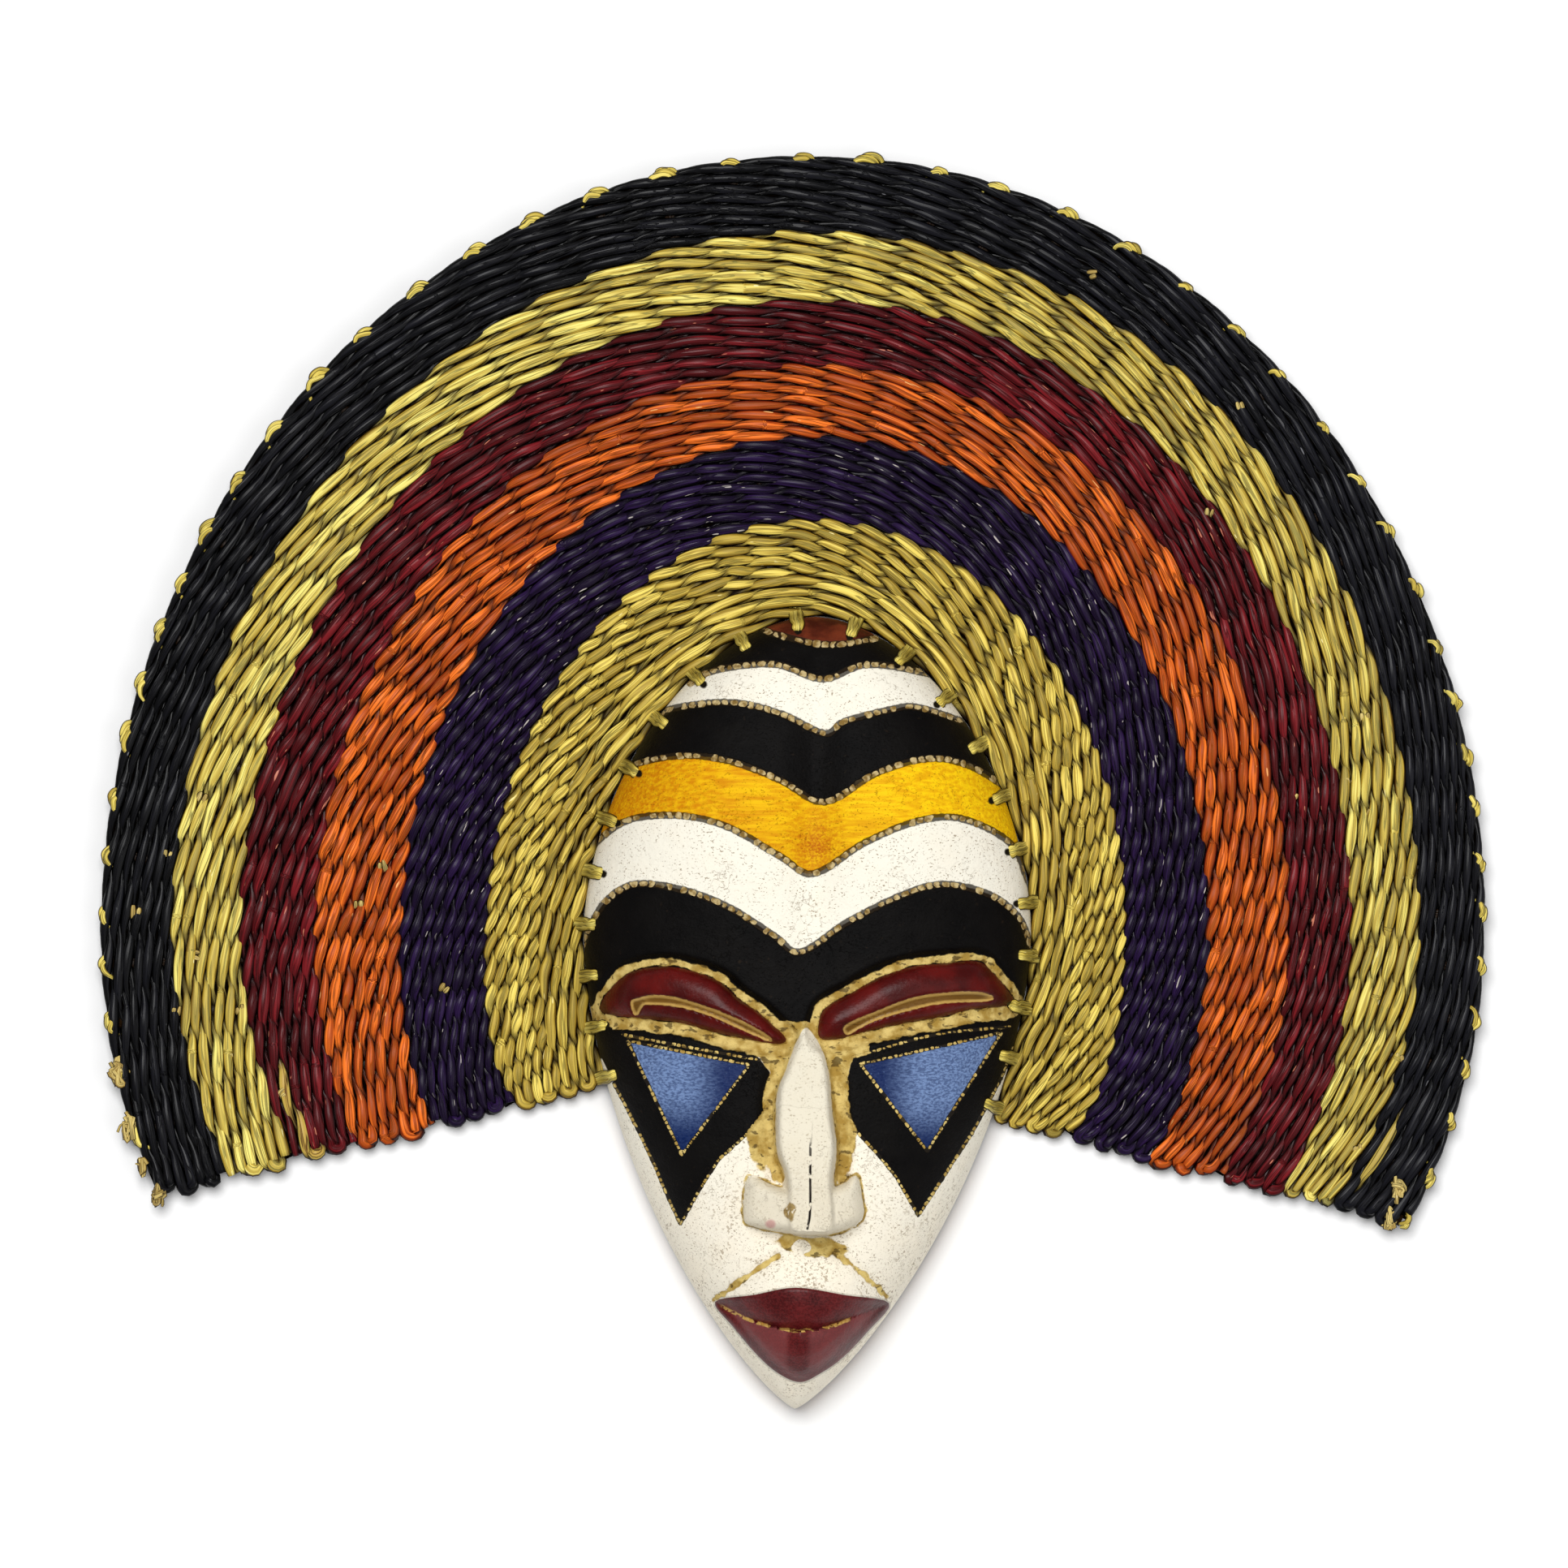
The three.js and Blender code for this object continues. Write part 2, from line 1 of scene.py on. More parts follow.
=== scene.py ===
# A carved and painted wooden face mask in a broad woven fan of dyed raffia, lying on its back.
# Metres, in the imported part's own frame: the face looks up along +Z and the top of the fan
# points along +Y. The part's sizes are repeated in the sections that use them.
import math

import bpy
import numpy as np
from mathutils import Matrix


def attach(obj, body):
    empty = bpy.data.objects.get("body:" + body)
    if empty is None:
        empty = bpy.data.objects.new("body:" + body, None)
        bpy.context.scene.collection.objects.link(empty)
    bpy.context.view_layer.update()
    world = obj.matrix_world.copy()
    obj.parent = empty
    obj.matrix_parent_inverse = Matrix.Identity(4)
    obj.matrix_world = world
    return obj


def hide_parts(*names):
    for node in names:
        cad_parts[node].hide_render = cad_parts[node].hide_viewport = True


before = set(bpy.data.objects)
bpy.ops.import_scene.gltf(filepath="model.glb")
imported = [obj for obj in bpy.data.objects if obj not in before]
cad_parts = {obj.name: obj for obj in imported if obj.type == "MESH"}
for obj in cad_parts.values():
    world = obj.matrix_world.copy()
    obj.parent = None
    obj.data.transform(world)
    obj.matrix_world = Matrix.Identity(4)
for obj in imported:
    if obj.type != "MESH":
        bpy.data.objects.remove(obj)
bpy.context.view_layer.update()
bpy.ops.object.select_all(action="DESELECT")

# The mask is carved from one block of light wood and hollowed behind: a long face with heavy
# half-closed lids, a long nose and full lips. Sizes are millimetres from the mask's centre, x
# across and y up the face, until the mesh is made.
EYE = np.array([0.0036, -0.0462])  # the fan's middle, in metres
MASK_SHIFT = 0.0012
MASK_LEAN = math.radians(-1.5)
HALF_WIDTH = 68.8
CROWN_REACH = 97.5
CHIN_REACH = 146.3
RIM_HEIGHT = 9
FACE_HEIGHT = 43
RIM_WIDTH = 11
CHIN_WALL = 7  # the rim is this much wider at the chin
HOLLOW_HEIGHT = 34


def mask_half_width(y):
    above = np.clip(1 - (np.clip(y, 0, None) / CROWN_REACH) ** 1.8, 0, None) ** (1 / 1.8)
    below = np.clip(1 - (np.clip(-y, 0, None) / CHIN_REACH) ** 1.7, 0, None) ** 0.8
    return HALF_WIDTH * np.where(y >= 0, above, below)


def smooth(value, start, end):
    step = np.clip((value - start) / (end - start), 0, 1)
    return step * step * (3 - 2 * step)


def hill(distance, spread):
    return np.exp(-((distance / spread) ** 2))


def rounded(part):
    """A quarter round, from 0 at the edge to 1."""
    return np.sqrt(1 - (1 - np.clip(part, 0, 1)) ** 2)


def dome(x, y):
    across = np.minimum(1, np.abs(x) / np.maximum(mask_half_width(y), 1e-6))
    up = (np.clip(y, 0, None) / CROWN_REACH) ** 3.2
    down = (np.clip(-y, 0, None) / CHIN_REACH) ** 4
    along = np.where(y >= 0, up, down)
    return np.sqrt(np.clip(1 - across**2.6, 0, None) * np.clip(1 - along, 0, None))


def curve(points, closed=False, steps=6):
    """A smooth line through a few marked points."""
    points = np.array(points, float)
    count = len(points)
    line = []
    for i in range(count if closed else count - 1):
        if closed:
            a, b, c, d = (points[(i + k) % count] for k in (-1, 0, 1, 2))
        else:
            b, c = points[i], points[i + 1]
            a = points[i - 1] if i > 0 else 2 * b - c
            d = points[i + 2] if i + 2 < count else 2 * c - b
        for step in np.arange(steps) / steps:
            line.append(
                b
                + (c - a) / 2 * step
                + (a - 2.5 * b + 2 * c - d / 2) * step**2
                + (1.5 * b - a / 2 - 1.5 * c + d / 2) * step**3
            )
    if not closed:
        line.append(points[-1])
    return np.array(line)


def lengths_along(line):
    """The length of a line up to each of its points."""
    return np.concatenate([[0], np.cumsum(np.linalg.norm(np.diff(line, axis=0), axis=1))])


def from_line(line, x, y, closed=False):
    """The distance from a line and the length along it to the nearest place."""
    starts = line if closed else line[:-1]
    runs = (np.roll(line, -1, axis=0) if closed else line[1:]) - starts
    lengths = np.hypot(runs[:, 0], runs[:, 1]) + 1e-9
    before = np.concatenate([[0], np.cumsum(lengths)[:-1]])
    nearest = np.full(x.shape, 1e9)
    length = np.zeros(x.shape)
    for (ax, ay), (rx, ry), run, first in zip(starts, runs, lengths, before):
        part = np.clip(((x - ax) * rx + (y - ay) * ry) / run**2, 0, 1)
        away = np.hypot(x - ax - part * rx, y - ay - part * ry)
        closer = away < nearest
        nearest = np.where(closer, away, nearest)
        length = np.where(closer, first + part * run, length)
    return nearest, length


def within(shape, x, y):
    """The distance from a closed shape's edge, positive inside."""
    inside = np.zeros(x.shape, bool)
    for (ax, ay), (bx, by) in zip(shape, np.roll(shape, -1, axis=0)):
        if ay == by:
            continue
        crosses = ((ay > y) != (by > y)) & (x < (bx - ax) * (y - ay) / (by - ay) + ax)
        inside ^= crosses
    away = from_line(shape, x, y, closed=True)[0]
    return np.where(inside, away, -away)


# The six punched lines between the forehead's stripes, from the crown down.
STRIPES = [
    curve([(-16, 93), (-10.6, 91.3), (4.7, 88.9), (21.8, 92.1), (28, 94)]),
    curve([(-38, 76), (-30.4, 80.2), (-12.4, 82.5), (2.7, 78.3), (16.6, 83.2), (37.7, 80.3), (44, 77)]),
    curve([(-50, 64), (-43.3, 68.1), (-25.6, 70.4), (-9.8, 67.3), (3.6, 61.6), (9.5, 65.4), (23.4, 69.4),
           (32.4, 70.4), (49.8, 65.1), (56, 62)]),
    curve([(-60, 47), (-53.1, 51.1), (-39.7, 53.7), (-25.1, 52.4), (-9.2, 46.8), (4.2, 40.6), (19.7, 49.8),
           (35.1, 54.7), (47.4, 53.3), (58.8, 47.3), (64, 44)]),
    curve([(-68, 22), (-64.7, 27.3), (-54.9, 33.8), (-39.2, 35.2), (-24.6, 31.9), (-8.6, 23.3), (1.5, 18.5),
           (16.8, 28.4), (33.3, 35.6), (46.8, 36.5), (61.5, 29.6), (67.3, 18.5), (70, 12)]),
    curve([(-70, -8), (-67.3, -0.5), (-62, 8.6), (-53.1, 13.9), (-38.6, 12.5), (-24, 7.4), (-10.2, -0.8),
           (-1.9, -5.6), (11.9, 3.8), (29.4, 13), (41.6, 16.3), (55.2, 13.7), (64.3, 7.4), (68.3, -0.5),
           (71, -8)]),
]
# The lids and the slits across them, the left eye's first, as the viewer sees them.
LIDS = [
    curve([(-62.4, -22.1), (-57.1, -15.3), (-51.7, -12.4), (-43.2, -11.1), (-35.4, -12.2),
           (-26.9, -15.2), (-20.7, -20.3), (-14.4, -24.4), (-9.5, -28.5), (-5.9, -31.9),
           (-6.6, -33.7), (-11.1, -33.8), (-25.2, -31.4), (-38.5, -28.3), (-50.1, -27.3),
           (-61.8, -26.1)], True, 5),
    curve([(4.3, -31.4), (5.6, -23.1), (14.5, -17.4), (22.1, -12.9), (32.3, -9.2), (42.5, -7.9),
           (52.5, -7.1), (57.8, -11), (63, -17.1), (63.8, -19.1), (60.6, -20.7), (50.3, -21.9),
           (42.9, -24.1), (27.5, -27.3), (14.8, -30.6), (10.3, -32)], True, 5),
]
SLITS = [
    curve([(-53.7, -22.4), (-51.7, -21.1), (-46.5, -20), (-39.7, -20.5), (-32.4, -22.4),
           (-25.4, -24.7), (-17, -28.2), (-10.7, -31.8), (-10.6, -33.3), (-16.9, -31),
           (-25.3, -27.4), (-32.4, -24.9), (-39.7, -23.3), (-46.9, -23), (-49.7, -23.3),
           (-51.3, -26.1), (-52.6, -26.1)], True, 4),
    curve([(12.2, -27.7), (21.4, -23.2), (32.5, -18.7), (42.7, -16.9), (52.7, -16.4),
           (57.5, -17.8), (55.5, -19.3), (42.8, -20.1), (32.6, -22.4), (22.4, -25.7),
           (15.8, -29.1), (12.8, -30.7)], True, 4),
]
# The painted triangles under the eyes, blue ones inside black ones.
BLUES = [
    np.array([(-54.4, -34.3), (-16.7, -40.5), (-36.8, -68.7)]),
    np.array([(17.2, -39.4), (60.5, -28.8), (38.5, -65.7)]),
]
BLACKS = [
    np.array([(-63.5, -29.7), (-55.4, -32), (-27.9, -34.2), (-14.3, -37.9), (-10.4, -42.5),
              (-10, -49), (-10.6, -52.8), (-16.9, -61.7), (-25.4, -69.9), (-30.5, -78.3),
              (-36.7, -90.2), (-41.4, -80.6), (-44.9, -72.7), (-50.4, -61.8), (-58.3, -47.5),
              (-63.3, -37.9)]),
    np.array([(14.7, -37.1), (32.1, -32.7), (52, -27.6), (63.4, -23.3), (64.1, -33.3),
              (60.9, -42.7), (52.3, -59.7), (36.3, -85.6), (29.2, -73.8), (23.5, -67.2),
              (16.1, -59.6), (13.7, -53.9), (13.4, -43.9)]),
]
# The nose, the mouth and the two furrows from one to the other.
BRIDGE = curve([(-1.2, -30.2), (-5.6, -41.7), (-8, -49), (-7.8, -65.7), (-4.8, -75.2), (-3.4, -91.4),
                (10.6, -91), (10, -74.8), (10.7, -65.2), (9.2, -55.8), (7.1, -39.6), (1.8, -30)], True)
WINGS = curve([(-15.8, -74.7), (-17.3, -83), (-17.2, -87.2), (-15.4, -89.7), (-4.6, -91.7), (3.7, -91.9),
               (11.6, -91.2), (19, -87), (18.6, -79.5), (16.7, -73.6), (10.8, -77.2), (-5.5, -78.2)],
              True, 3)
LIPS = curve([(-25.5, -113.7), (-13.4, -110.9), (-0.7, -108.3), (14.1, -110.2), (28.2, -112.8),
              (21.9, -121.7), (14.4, -129.9), (7.8, -134.8), (1.6, -137.8), (-4.7, -135.7),
              (-11.3, -130.6), (-19.8, -121.3)], True, 5)
MOUTH_LINE = curve([(-24.8, -114.2), (-22.2, -115.6), (-15.7, -118.5), (-8.8, -120.5), (-2.1, -121.6),
                    (2.2, -121.5), (8.9, -120.6), (16.8, -117.6), (27.5, -113.1)])
FURROWS = [
    curve([(-25.8, -113.2), (-19.7, -108.6), (-12.3, -102.9), (-6.7, -99)]),
    curve([(10.8, -97.8), (16.4, -101.1), (22.8, -106.4), (27.2, -110.8)]),
]


def face_marks(x, y):
    """How far each point lies from the lines and shapes that are carved or painted."""
    def best(shapes):
        return np.maximum(within(shapes[0], x, y), within(shapes[1], x, y))

    return {
        "lines": [np.interp(x, line[:, 0], line[:, 1]) for line in STRIPES],
        "lid": best(LIDS),
        "slit": best(SLITS),
        "blue": best(BLUES),
        "black": best(BLACKS),
        "bridge": within(BRIDGE, x, y),
        "wings": within(WINGS, x, y),
        "lips": within(LIPS, x, y),
        "parting": np.interp(x, MOUTH_LINE[:, 0], MOUTH_LINE[:, 1]),
        "mouth": from_line(MOUTH_LINE, x, y)[0],
        "furrow": np.minimum(from_line(FURROWS[0], x, y)[0], from_line(FURROWS[1], x, y)[0]),
    }


def face_height(x, y, marks):
    rise = dome(x, y)
    lobes = 3 * hill(np.abs(x) - 28, 20) * hill(y - 32, 34)
    valley = 2.6 * hill(x - 1.5, 7) * smooth(y, -25, 10)
    muzzle = 10 * hill(x - 1.5, 21) * hill(y + 117, 19)
    # the lid bulges in a sunk socket, highest near its upper edge, and is slit across
    lid = marks["lid"]
    socket = 2.4 * smooth(lid, -4.6, -2.6)
    bulge = 5.4 * rounded(lid / 6.5)
    slit = 2.0 * smooth(marks["slit"], -0.5, 0.9)
    # the bridge rises evenly to the tip, with a crease along it, and slopes into short wings
    bridge = marks["bridge"]
    down = 1.7 + 18.3 * np.clip((-28 - y) / 62, 0, 1)
    aside = np.abs(x - 2.2)
    ridge = (down - (0.12 + 0.3 * smooth(-y, 60, 80)) * aside) * smooth(bridge, -1.3, 1.8)
    tip = 1.6 * hill(np.hypot((x - 2.4) / 1.3, y + 85), 8) * smooth(bridge, 0, 2)
    wing = (down - 1.2 - 0.58 * aside) * rounded((marks["wings"] + 0.3) / 4)
    nose = np.maximum(ridge + tip, wing) * smooth(y, -92.8, -90.8)
    beside = 2.2 * smooth(bridge, -7, -2) * (bridge < 0.5) * smooth(-y, 34, 44) * smooth(-y, 80, 72)
    furrow = 1.5 * hill(marks["furrow"], 1.7)
    # the upper lip slopes in to the mouth line, the lower one stands out in two facets
    lips = marks["lips"]
    edge = 0.9 * smooth(lips, -0.5, 0.7)
    depth = np.abs(y - marks["parting"])
    parting = 4.2 * np.exp(-depth / 4.5) * smooth(lips, -0.5, 3)
    lower = y < marks["parting"]
    full = 3.4 * lower * smooth(lips, 0, 4) * (1 - 0.05 * np.abs(x - 1))
    centre = 0.6 * hill(x - 1, 2.6) * lower * smooth(lips, 0, 2)
    features = lobes - valley - socket + bulge - slit + nose - beside + muzzle - furrow
    features = features + edge - parting + full + centre
    return RIM_HEIGHT + (FACE_HEIGHT - RIM_HEIGHT) * rise + features * np.minimum(1, 1.6 * rise)


def mask_length(y):
    return np.where(y >= 0, CROWN_REACH, CHIN_REACH)


def hollow_length(y):
    return np.where(y >= 0, CROWN_REACH - RIM_WIDTH, CHIN_REACH - RIM_WIDTH - CHIN_WALL)


def hollow_half_width(y):
    return mask_half_width(y * mask_length(y) / hollow_length(y)) * (HALF_WIDTH - RIM_WIDTH) / HALF_WIDTH


def hollow_height(x, y):
    across = np.minimum(1, np.abs(x) / np.maximum(hollow_half_width(y), 1e-6))
    along = np.minimum(1, np.abs(y) / hollow_length(y)) ** 4
    return HOLLOW_HEIGHT * ((1 - across**3) * (1 - along)) ** 0.4


def spread(count, bend):
    """From 1 down to 0, closer together near 1."""
    step = np.arange(count + 1) / count
    return (1 - bend) * (1 - step) + bend * np.cos(step * math.pi / 2)


# Each ring of points runs over the front, down to the rim and back through the hollow.
UPPER_ROWS, LOWER_ROWS, COLUMNS, HOLLOW_COLUMNS = 172, 236, 208, 22
upper_y = CROWN_REACH * spread(UPPER_ROWS, 0.45)
lower_y = -CHIN_REACH * spread(LOWER_ROWS, 0.25)
row_y = np.concatenate([upper_y, lower_y[::-1][1:]])
hollow_y = row_y * hollow_length(row_y) / mask_length(row_y)
across = np.linspace(-1, 1, COLUMNS + 1)
across = np.sign(across) * (0.8 * np.abs(across) + 0.2 * np.sin(np.abs(across) * math.pi / 2))
front_x = across[None, :] * mask_half_width(row_y)[:, None]
front_y = np.broadcast_to(row_y[:, None], front_x.shape)
marks = face_marks(front_x, front_y)
front_z = face_height(front_x, front_y, marks)
inner = np.sin(np.linspace(1, -1, HOLLOW_COLUMNS + 1) * math.pi / 2)
back_x = inner[None, :] * hollow_half_width(hollow_y)[:, None]
back_y = np.broadcast_to(hollow_y[:, None], back_x.shape)
back_z = hollow_height(back_x, back_y)
left, right = (np.stack([front_x[:, k], row_y, np.zeros_like(row_y)], 1)[:, None, :] for k in (0, -1))
front = np.stack([front_x, front_y, front_z], 2)
back = np.stack([back_x, back_y, back_z], 2)
ring = np.concatenate([front, right, back, left], 1)


def maths(operation):
    """A method that makes a Math node of a wire's value and of any others after it."""
    def method(self, *others):
        return node(self.tree, "Math", {"operation": operation}, dict(enumerate((self, *others))))[0]

    return method


class Wire:
    """A socket of a material's nodes, so that shader maths reads as an expression."""

    def __init__(self, tree, socket):
        self.tree = tree
        self.socket = socket

    __add__ = __radd__ = maths("ADD")
    __mul__ = __rmul__ = maths("MULTIPLY")
    __sub__ = maths("SUBTRACT")
    __truediv__ = maths("DIVIDE")
    __pow__ = maths("POWER")
    low = maths("MINIMUM")
    high = maths("MAXIMUM")
    size = maths("ABSOLUTE")
    wave = maths("SINE")
    floor = maths("FLOOR")
    fraction = maths("FRACT")

    def __rsub__(self, other):
        return node(self.tree, "Math", {"operation": "SUBTRACT"}, {0: other, 1: self})[0]

    def into(self, surface, name):
        """Links this value to a socket."""
        self.tree.links.new(self.socket, surface.inputs[name])

    def rise(self, start, end):
        """From 0 at the start to 1 at the end, with soft shoulders."""
        settings = {"interpolation_type": "SMOOTHSTEP"}
        return node(self.tree, "MapRange", settings, {0: self, 1: start, 2: end})[0]


def node(tree, kind, settings=None, sockets=None):
    """Adds a node: its type, its settings, then values or links for its sockets."""
    made = tree.nodes.new("ShaderNode" + kind)
    for name, value in (settings or {}).items():
        setattr(made, name, value)
    for name, value in (sockets or {}).items():
        if isinstance(value, Wire):
            value.into(made, name)
        else:
            made.inputs[name].default_value = value
    return [Wire(tree, output) for output in made.outputs]


def paint(red, green, blue):
    """A colour as a paint card gives it, from 0 to 255, for a shader."""
    def channel(value):
        value /= 255
        return value / 12.92 if value <= 0.04045 else ((value + 0.055) / 1.055) ** 2.4

    return (channel(red), channel(green), channel(blue), 1)


def kept_wire(tree, name):
    """A value that is kept on the mesh's points."""
    return node(tree, "Attribute", {"attribute_name": name})[2]


def mix(factor, first, second):
    """The first colour where the factor is 0 and the second where it is 1. A colour is a wire, or
    three numbers for paint."""
    first, second = (paint(*tint) if isinstance(tint, tuple) else tint for tint in (first, second))
    return node(factor.tree, "Mix", {"data_type": "RGBA"}, {0: factor, 6: first, 7: second})[2]


def new_finish(name, **constants):
    """A material with its surface shader, and constants on the shader's own sockets."""
    material = bpy.data.materials.new(name)
    material.use_nodes = True
    tree = material.node_tree
    surface = tree.nodes["Principled BSDF"]
    for socket, value in constants.items():
        surface.inputs[socket.replace("_", " ")].default_value = value
    return material, tree, surface


def new_object(name, data):
    made = bpy.data.objects.new(name, data)
    bpy.context.collection.objects.link(made)
    return made


def lay(piece, material, slot, *nodes):
    """Gives a piece its finish, and its place on the part."""
    piece.data.materials.append(material)
    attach(piece, "root")
    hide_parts(*nodes)


def leaned(x, y, lean):
    return x * math.cos(lean) - y * math.sin(lean), x * math.sin(lean) + y * math.cos(lean)


def on_mask(x, y):
    """A place measured from the eye, as the mask's own x and y."""
    return leaned(x - MASK_SHIFT * 1000, y, -MASK_LEAN)


def tube_faces(count, sides):
    """The corners of the faces between rings of points, one ring after another."""
    i = np.arange(count - 1)[:, None] * sides
    k = np.arange(sides)[None, :]
    n = (k + 1) % sides
    return np.stack([i + k, i + sides + k, i + sides + n, i + n], 2).reshape(-1, 4)


ring_count, ring_size = ring.shape[0], ring.shape[1]
points = ring.reshape(-1, 3) / 1000
x, y = leaned(points[:, 0], points[:, 1], MASK_LEAN)
points = np.stack([EYE[0] + MASK_SHIFT + x, EYE[1] + y, points[:, 2]], 1)
mesh = bpy.data.meshes.new("painted_mask")
mesh.from_pydata(points, [], tube_faces(ring_count, ring_size))


def mask_reach(angle):
    """How far the mask's outline lies from the eye, found by halving the span it must lie in."""
    inside = np.zeros_like(angle)
    outside = np.full_like(angle, 156.0)  # past the chin
    for _ in range(24):
        middle = (inside + outside) / 2
        across, up = on_mask(middle * np.cos(angle), middle * np.sin(angle))
        covered = (up < CROWN_REACH) & (up > -CHIN_REACH) & (np.abs(across) < mask_half_width(up))
        inside = np.where(covered, middle, inside)
        outside = np.where(covered, outside, middle)
    return outside


# Twenty-two holes run round the upper edge for the cords that hold the fan, a little closer
# together at the fan's hems. Each is kept as a place on the outline and the way in from there.
HOLES = 22
FIRST_HOLE = 2.8  # along the edge from the left hem
LAST_HOLE = 4.4  # and from the right one
HOLE_INSET = 3.9
round_edge = np.radians(np.linspace(217.83, -44.89, 401))
edge = mask_reach(round_edge)[:, None] * np.stack([np.cos(round_edge), np.sin(round_edge)], 1)
edge_length = lengths_along(edge)
part = np.arange(HOLES) / (HOLES - 1)
span = edge_length[-1] - FIRST_HOLE - LAST_HOLE
hole_at = FIRST_HOLE + span * (part - 0.012 * np.sin(2 * math.pi * part))
hole_edge, ahead = (
    np.stack([np.interp(hole_at + further, edge_length, edge[:, k]) for k in range(2)], 1)
    for further in (0, 2)
)
ahead -= hole_edge
ahead /= np.linalg.norm(ahead, axis=1)[:, None]
inwards = np.stack([ahead[:, 1], -ahead[:, 0]], 1)


def shoulder(x, y):
    """The height of the mask's outer surface there, above the floor."""
    return RIM_HEIGHT + (FACE_HEIGHT - RIM_HEIGHT) * dome(*on_mask(x, y))


# What the paint follows is kept on the front's points: distances in millimetres.
x, y = front_x, front_y


def nearest_of(lines, gap):
    """The distance from the nearest line, and a length that runs on from each line to the next."""
    nearest = np.full(x.shape, 50.0)
    length = np.zeros(x.shape)
    for number, (line, closed) in enumerate(lines):
        away, along = from_line(line, x, y, closed)
        closer = away < nearest
        nearest = np.where(closer, away, nearest)
        length = np.where(closer, along + number * gap, length)
    return nearest, length


# the stripes are counted from the crown, with the part of the way from one line to the next
lines = marks["lines"]
stripe = 5 + (lines[5] - y) / 20
for k in (4, 3, 2, 1, 0):
    between = k + (lines[k] - y) / np.maximum(lines[k] - lines[k + 1], 0.5)
    stripe = np.where(y > lines[k + 1], between, stripe)
stripe = np.where(y > lines[0], -(y - lines[0]) / 8, stripe)
line_away, line_along = nearest_of([(line, False) for line in STRIPES], 40.3)
seam_away, seam_along = nearest_of([
    (BLUES[0], True), (BLUES[1], True), (BLACKS[0][6:15], False), (BLACKS[1][4:], False),
    (curve([(-56, -32.4), (-35.3, -35.7), (-13.7, -39)]), False),
    (curve([(15, -37.4), (39.3, -30), (63, -26.9)]), False),
], 31.7)
brow = np.minimum(lines[5] - y, np.minimum(y + 37 + 0.05 * np.abs(x), 60))
dark = np.maximum(brow, marks["black"])
bridge, wings = marks["bridge"], marks["wings"]
# bare wood round the lids, wider below, at the nose's root and sides, and above the lips
below = np.where(x < 1, y < -25 - 0.1 * (x + 62), y < -31.5 + 0.2 * (x - 4))
gold = 1.2 + 0.8 * below - np.abs(marks["lid"] + 1.3 + 0.7 * below)
root = np.minimum(np.minimum(-27 - y, (y + 53) * 0.8), 19 - np.abs(x - 1.2))
beside = np.minimum(np.hypot((x + 12.3) / 4.5, (y + 61) / 12), np.hypot((x - 13) / 3.4, (y + 60) / 15))
gold = np.maximum(gold, np.minimum(np.maximum(root, 3 - 3 * beside), 0.35 - marks["black"]))
gold = np.maximum(gold, np.minimum(2.1 - np.abs(bridge + 1.9), np.minimum(-32 - y, (y + 76) / 3)))
gold = np.maximum(gold, np.minimum(0.4 - np.abs(wings + 0.35), -71 - y))
gold = np.maximum(gold, 0.85 - marks["furrow"])
philtrum = 3 * (1 - np.hypot((x - 3.4) / 10.5, (y + 95.3 + 0.12 * (x - 3.4)) / 3.3))
island = 3 * (1 - np.hypot((x - 0.5) / 3.4, (y + 96) / 2.2))
gold = np.maximum(gold, np.minimum(philtrum, -island))
stain = hill(x - 2, 8) * hill(y - 27, 9) + 0.6 * hill(x + 62, 20)
outer = smooth(np.abs(x), 23, 37) * smooth(y, -64, -49)
crack, _ = from_line(curve([(2, -36.8), (3, -56), (2.6, -66), (3, -84), (2.3, -90)]), x, y)
crack = crack + 0.3 * smooth(y, -66, -56) - 0.1 * smooth(-y, 60, 66)
wound = np.hypot((x + 3.2) / 2.0, (y + 85.3) / 3.2)
smear = np.hypot((x + 9) / 1.8, (y + 89) / 1.5)
# the lower lip's two side facets are painted lighter: a painted highlight
lip_highlight = smooth(marks["lips"], 1.5, 4) * (y < marks["parting"]) * smooth(np.abs(x - 0.5), 2.2, 4.5)
kept = dict(
    stripe=stripe, line_away=line_away, line_along=line_along, seam_away=seam_away, seam_along=seam_along,
    dark=dark, gold=gold, stain=stain, outer=outer, crack=crack, wound=wound, smear=smear, lip_highlight=lip_highlight,
    nose=np.maximum(bridge, wings), low=smooth(-y, 45, 105), parted=smooth(-np.abs(x + 3.4), -21, -18),
    front=1, **{name: marks[name] for name in ("blue", "lid", "slit", "lips", "mouth")},
)
holes = zip(*on_mask(*(hole_edge + HOLE_INSET * inwards).T))
kept["hole"] = np.min([np.hypot(x - hole_x, y - hole_y) for hole_x, hole_y in holes], axis=0)
for name, values in kept.items():
    whole = np.zeros((ring_count, ring_size))
    whole[:, : COLUMNS + 1] = values
    mesh.attributes.new(name, "FLOAT", "POINT").data.foreach_set("value", whole.ravel())
mask_piece = new_object("painted_mask", mesh)
bpy.context.view_layer.objects.active = mask_piece
mask_piece.select_set(True)
bpy.ops.object.mode_set(mode="EDIT")
bpy.ops.mesh.select_all(action="SELECT")
bpy.ops.mesh.remove_doubles(threshold=0.00002)
bpy.ops.mesh.normals_make_consistent(inside=False)
bpy.ops.object.mode_set(mode="OBJECT")
bpy.ops.object.shade_smooth_by_angle(angle=math.radians(50))
mask_piece.select_set(False)

# Its paint is laid on by hand over a pale ground: cream, black, a strong yellow, two blue
# triangles, dark red lids and lips. Every stripe is edged by a row of small punched blocks that
# show bare wood, and scraped wood shows round the eyes and beside the nose.
painted, tree, surface = new_finish("painted wood", Specular_IOR_Level=0.1, Coat_Roughness=0.3)
kept_value = {name: kept_wire(tree, name) for name in kept}
place = node(tree, "TexCoord")[3]


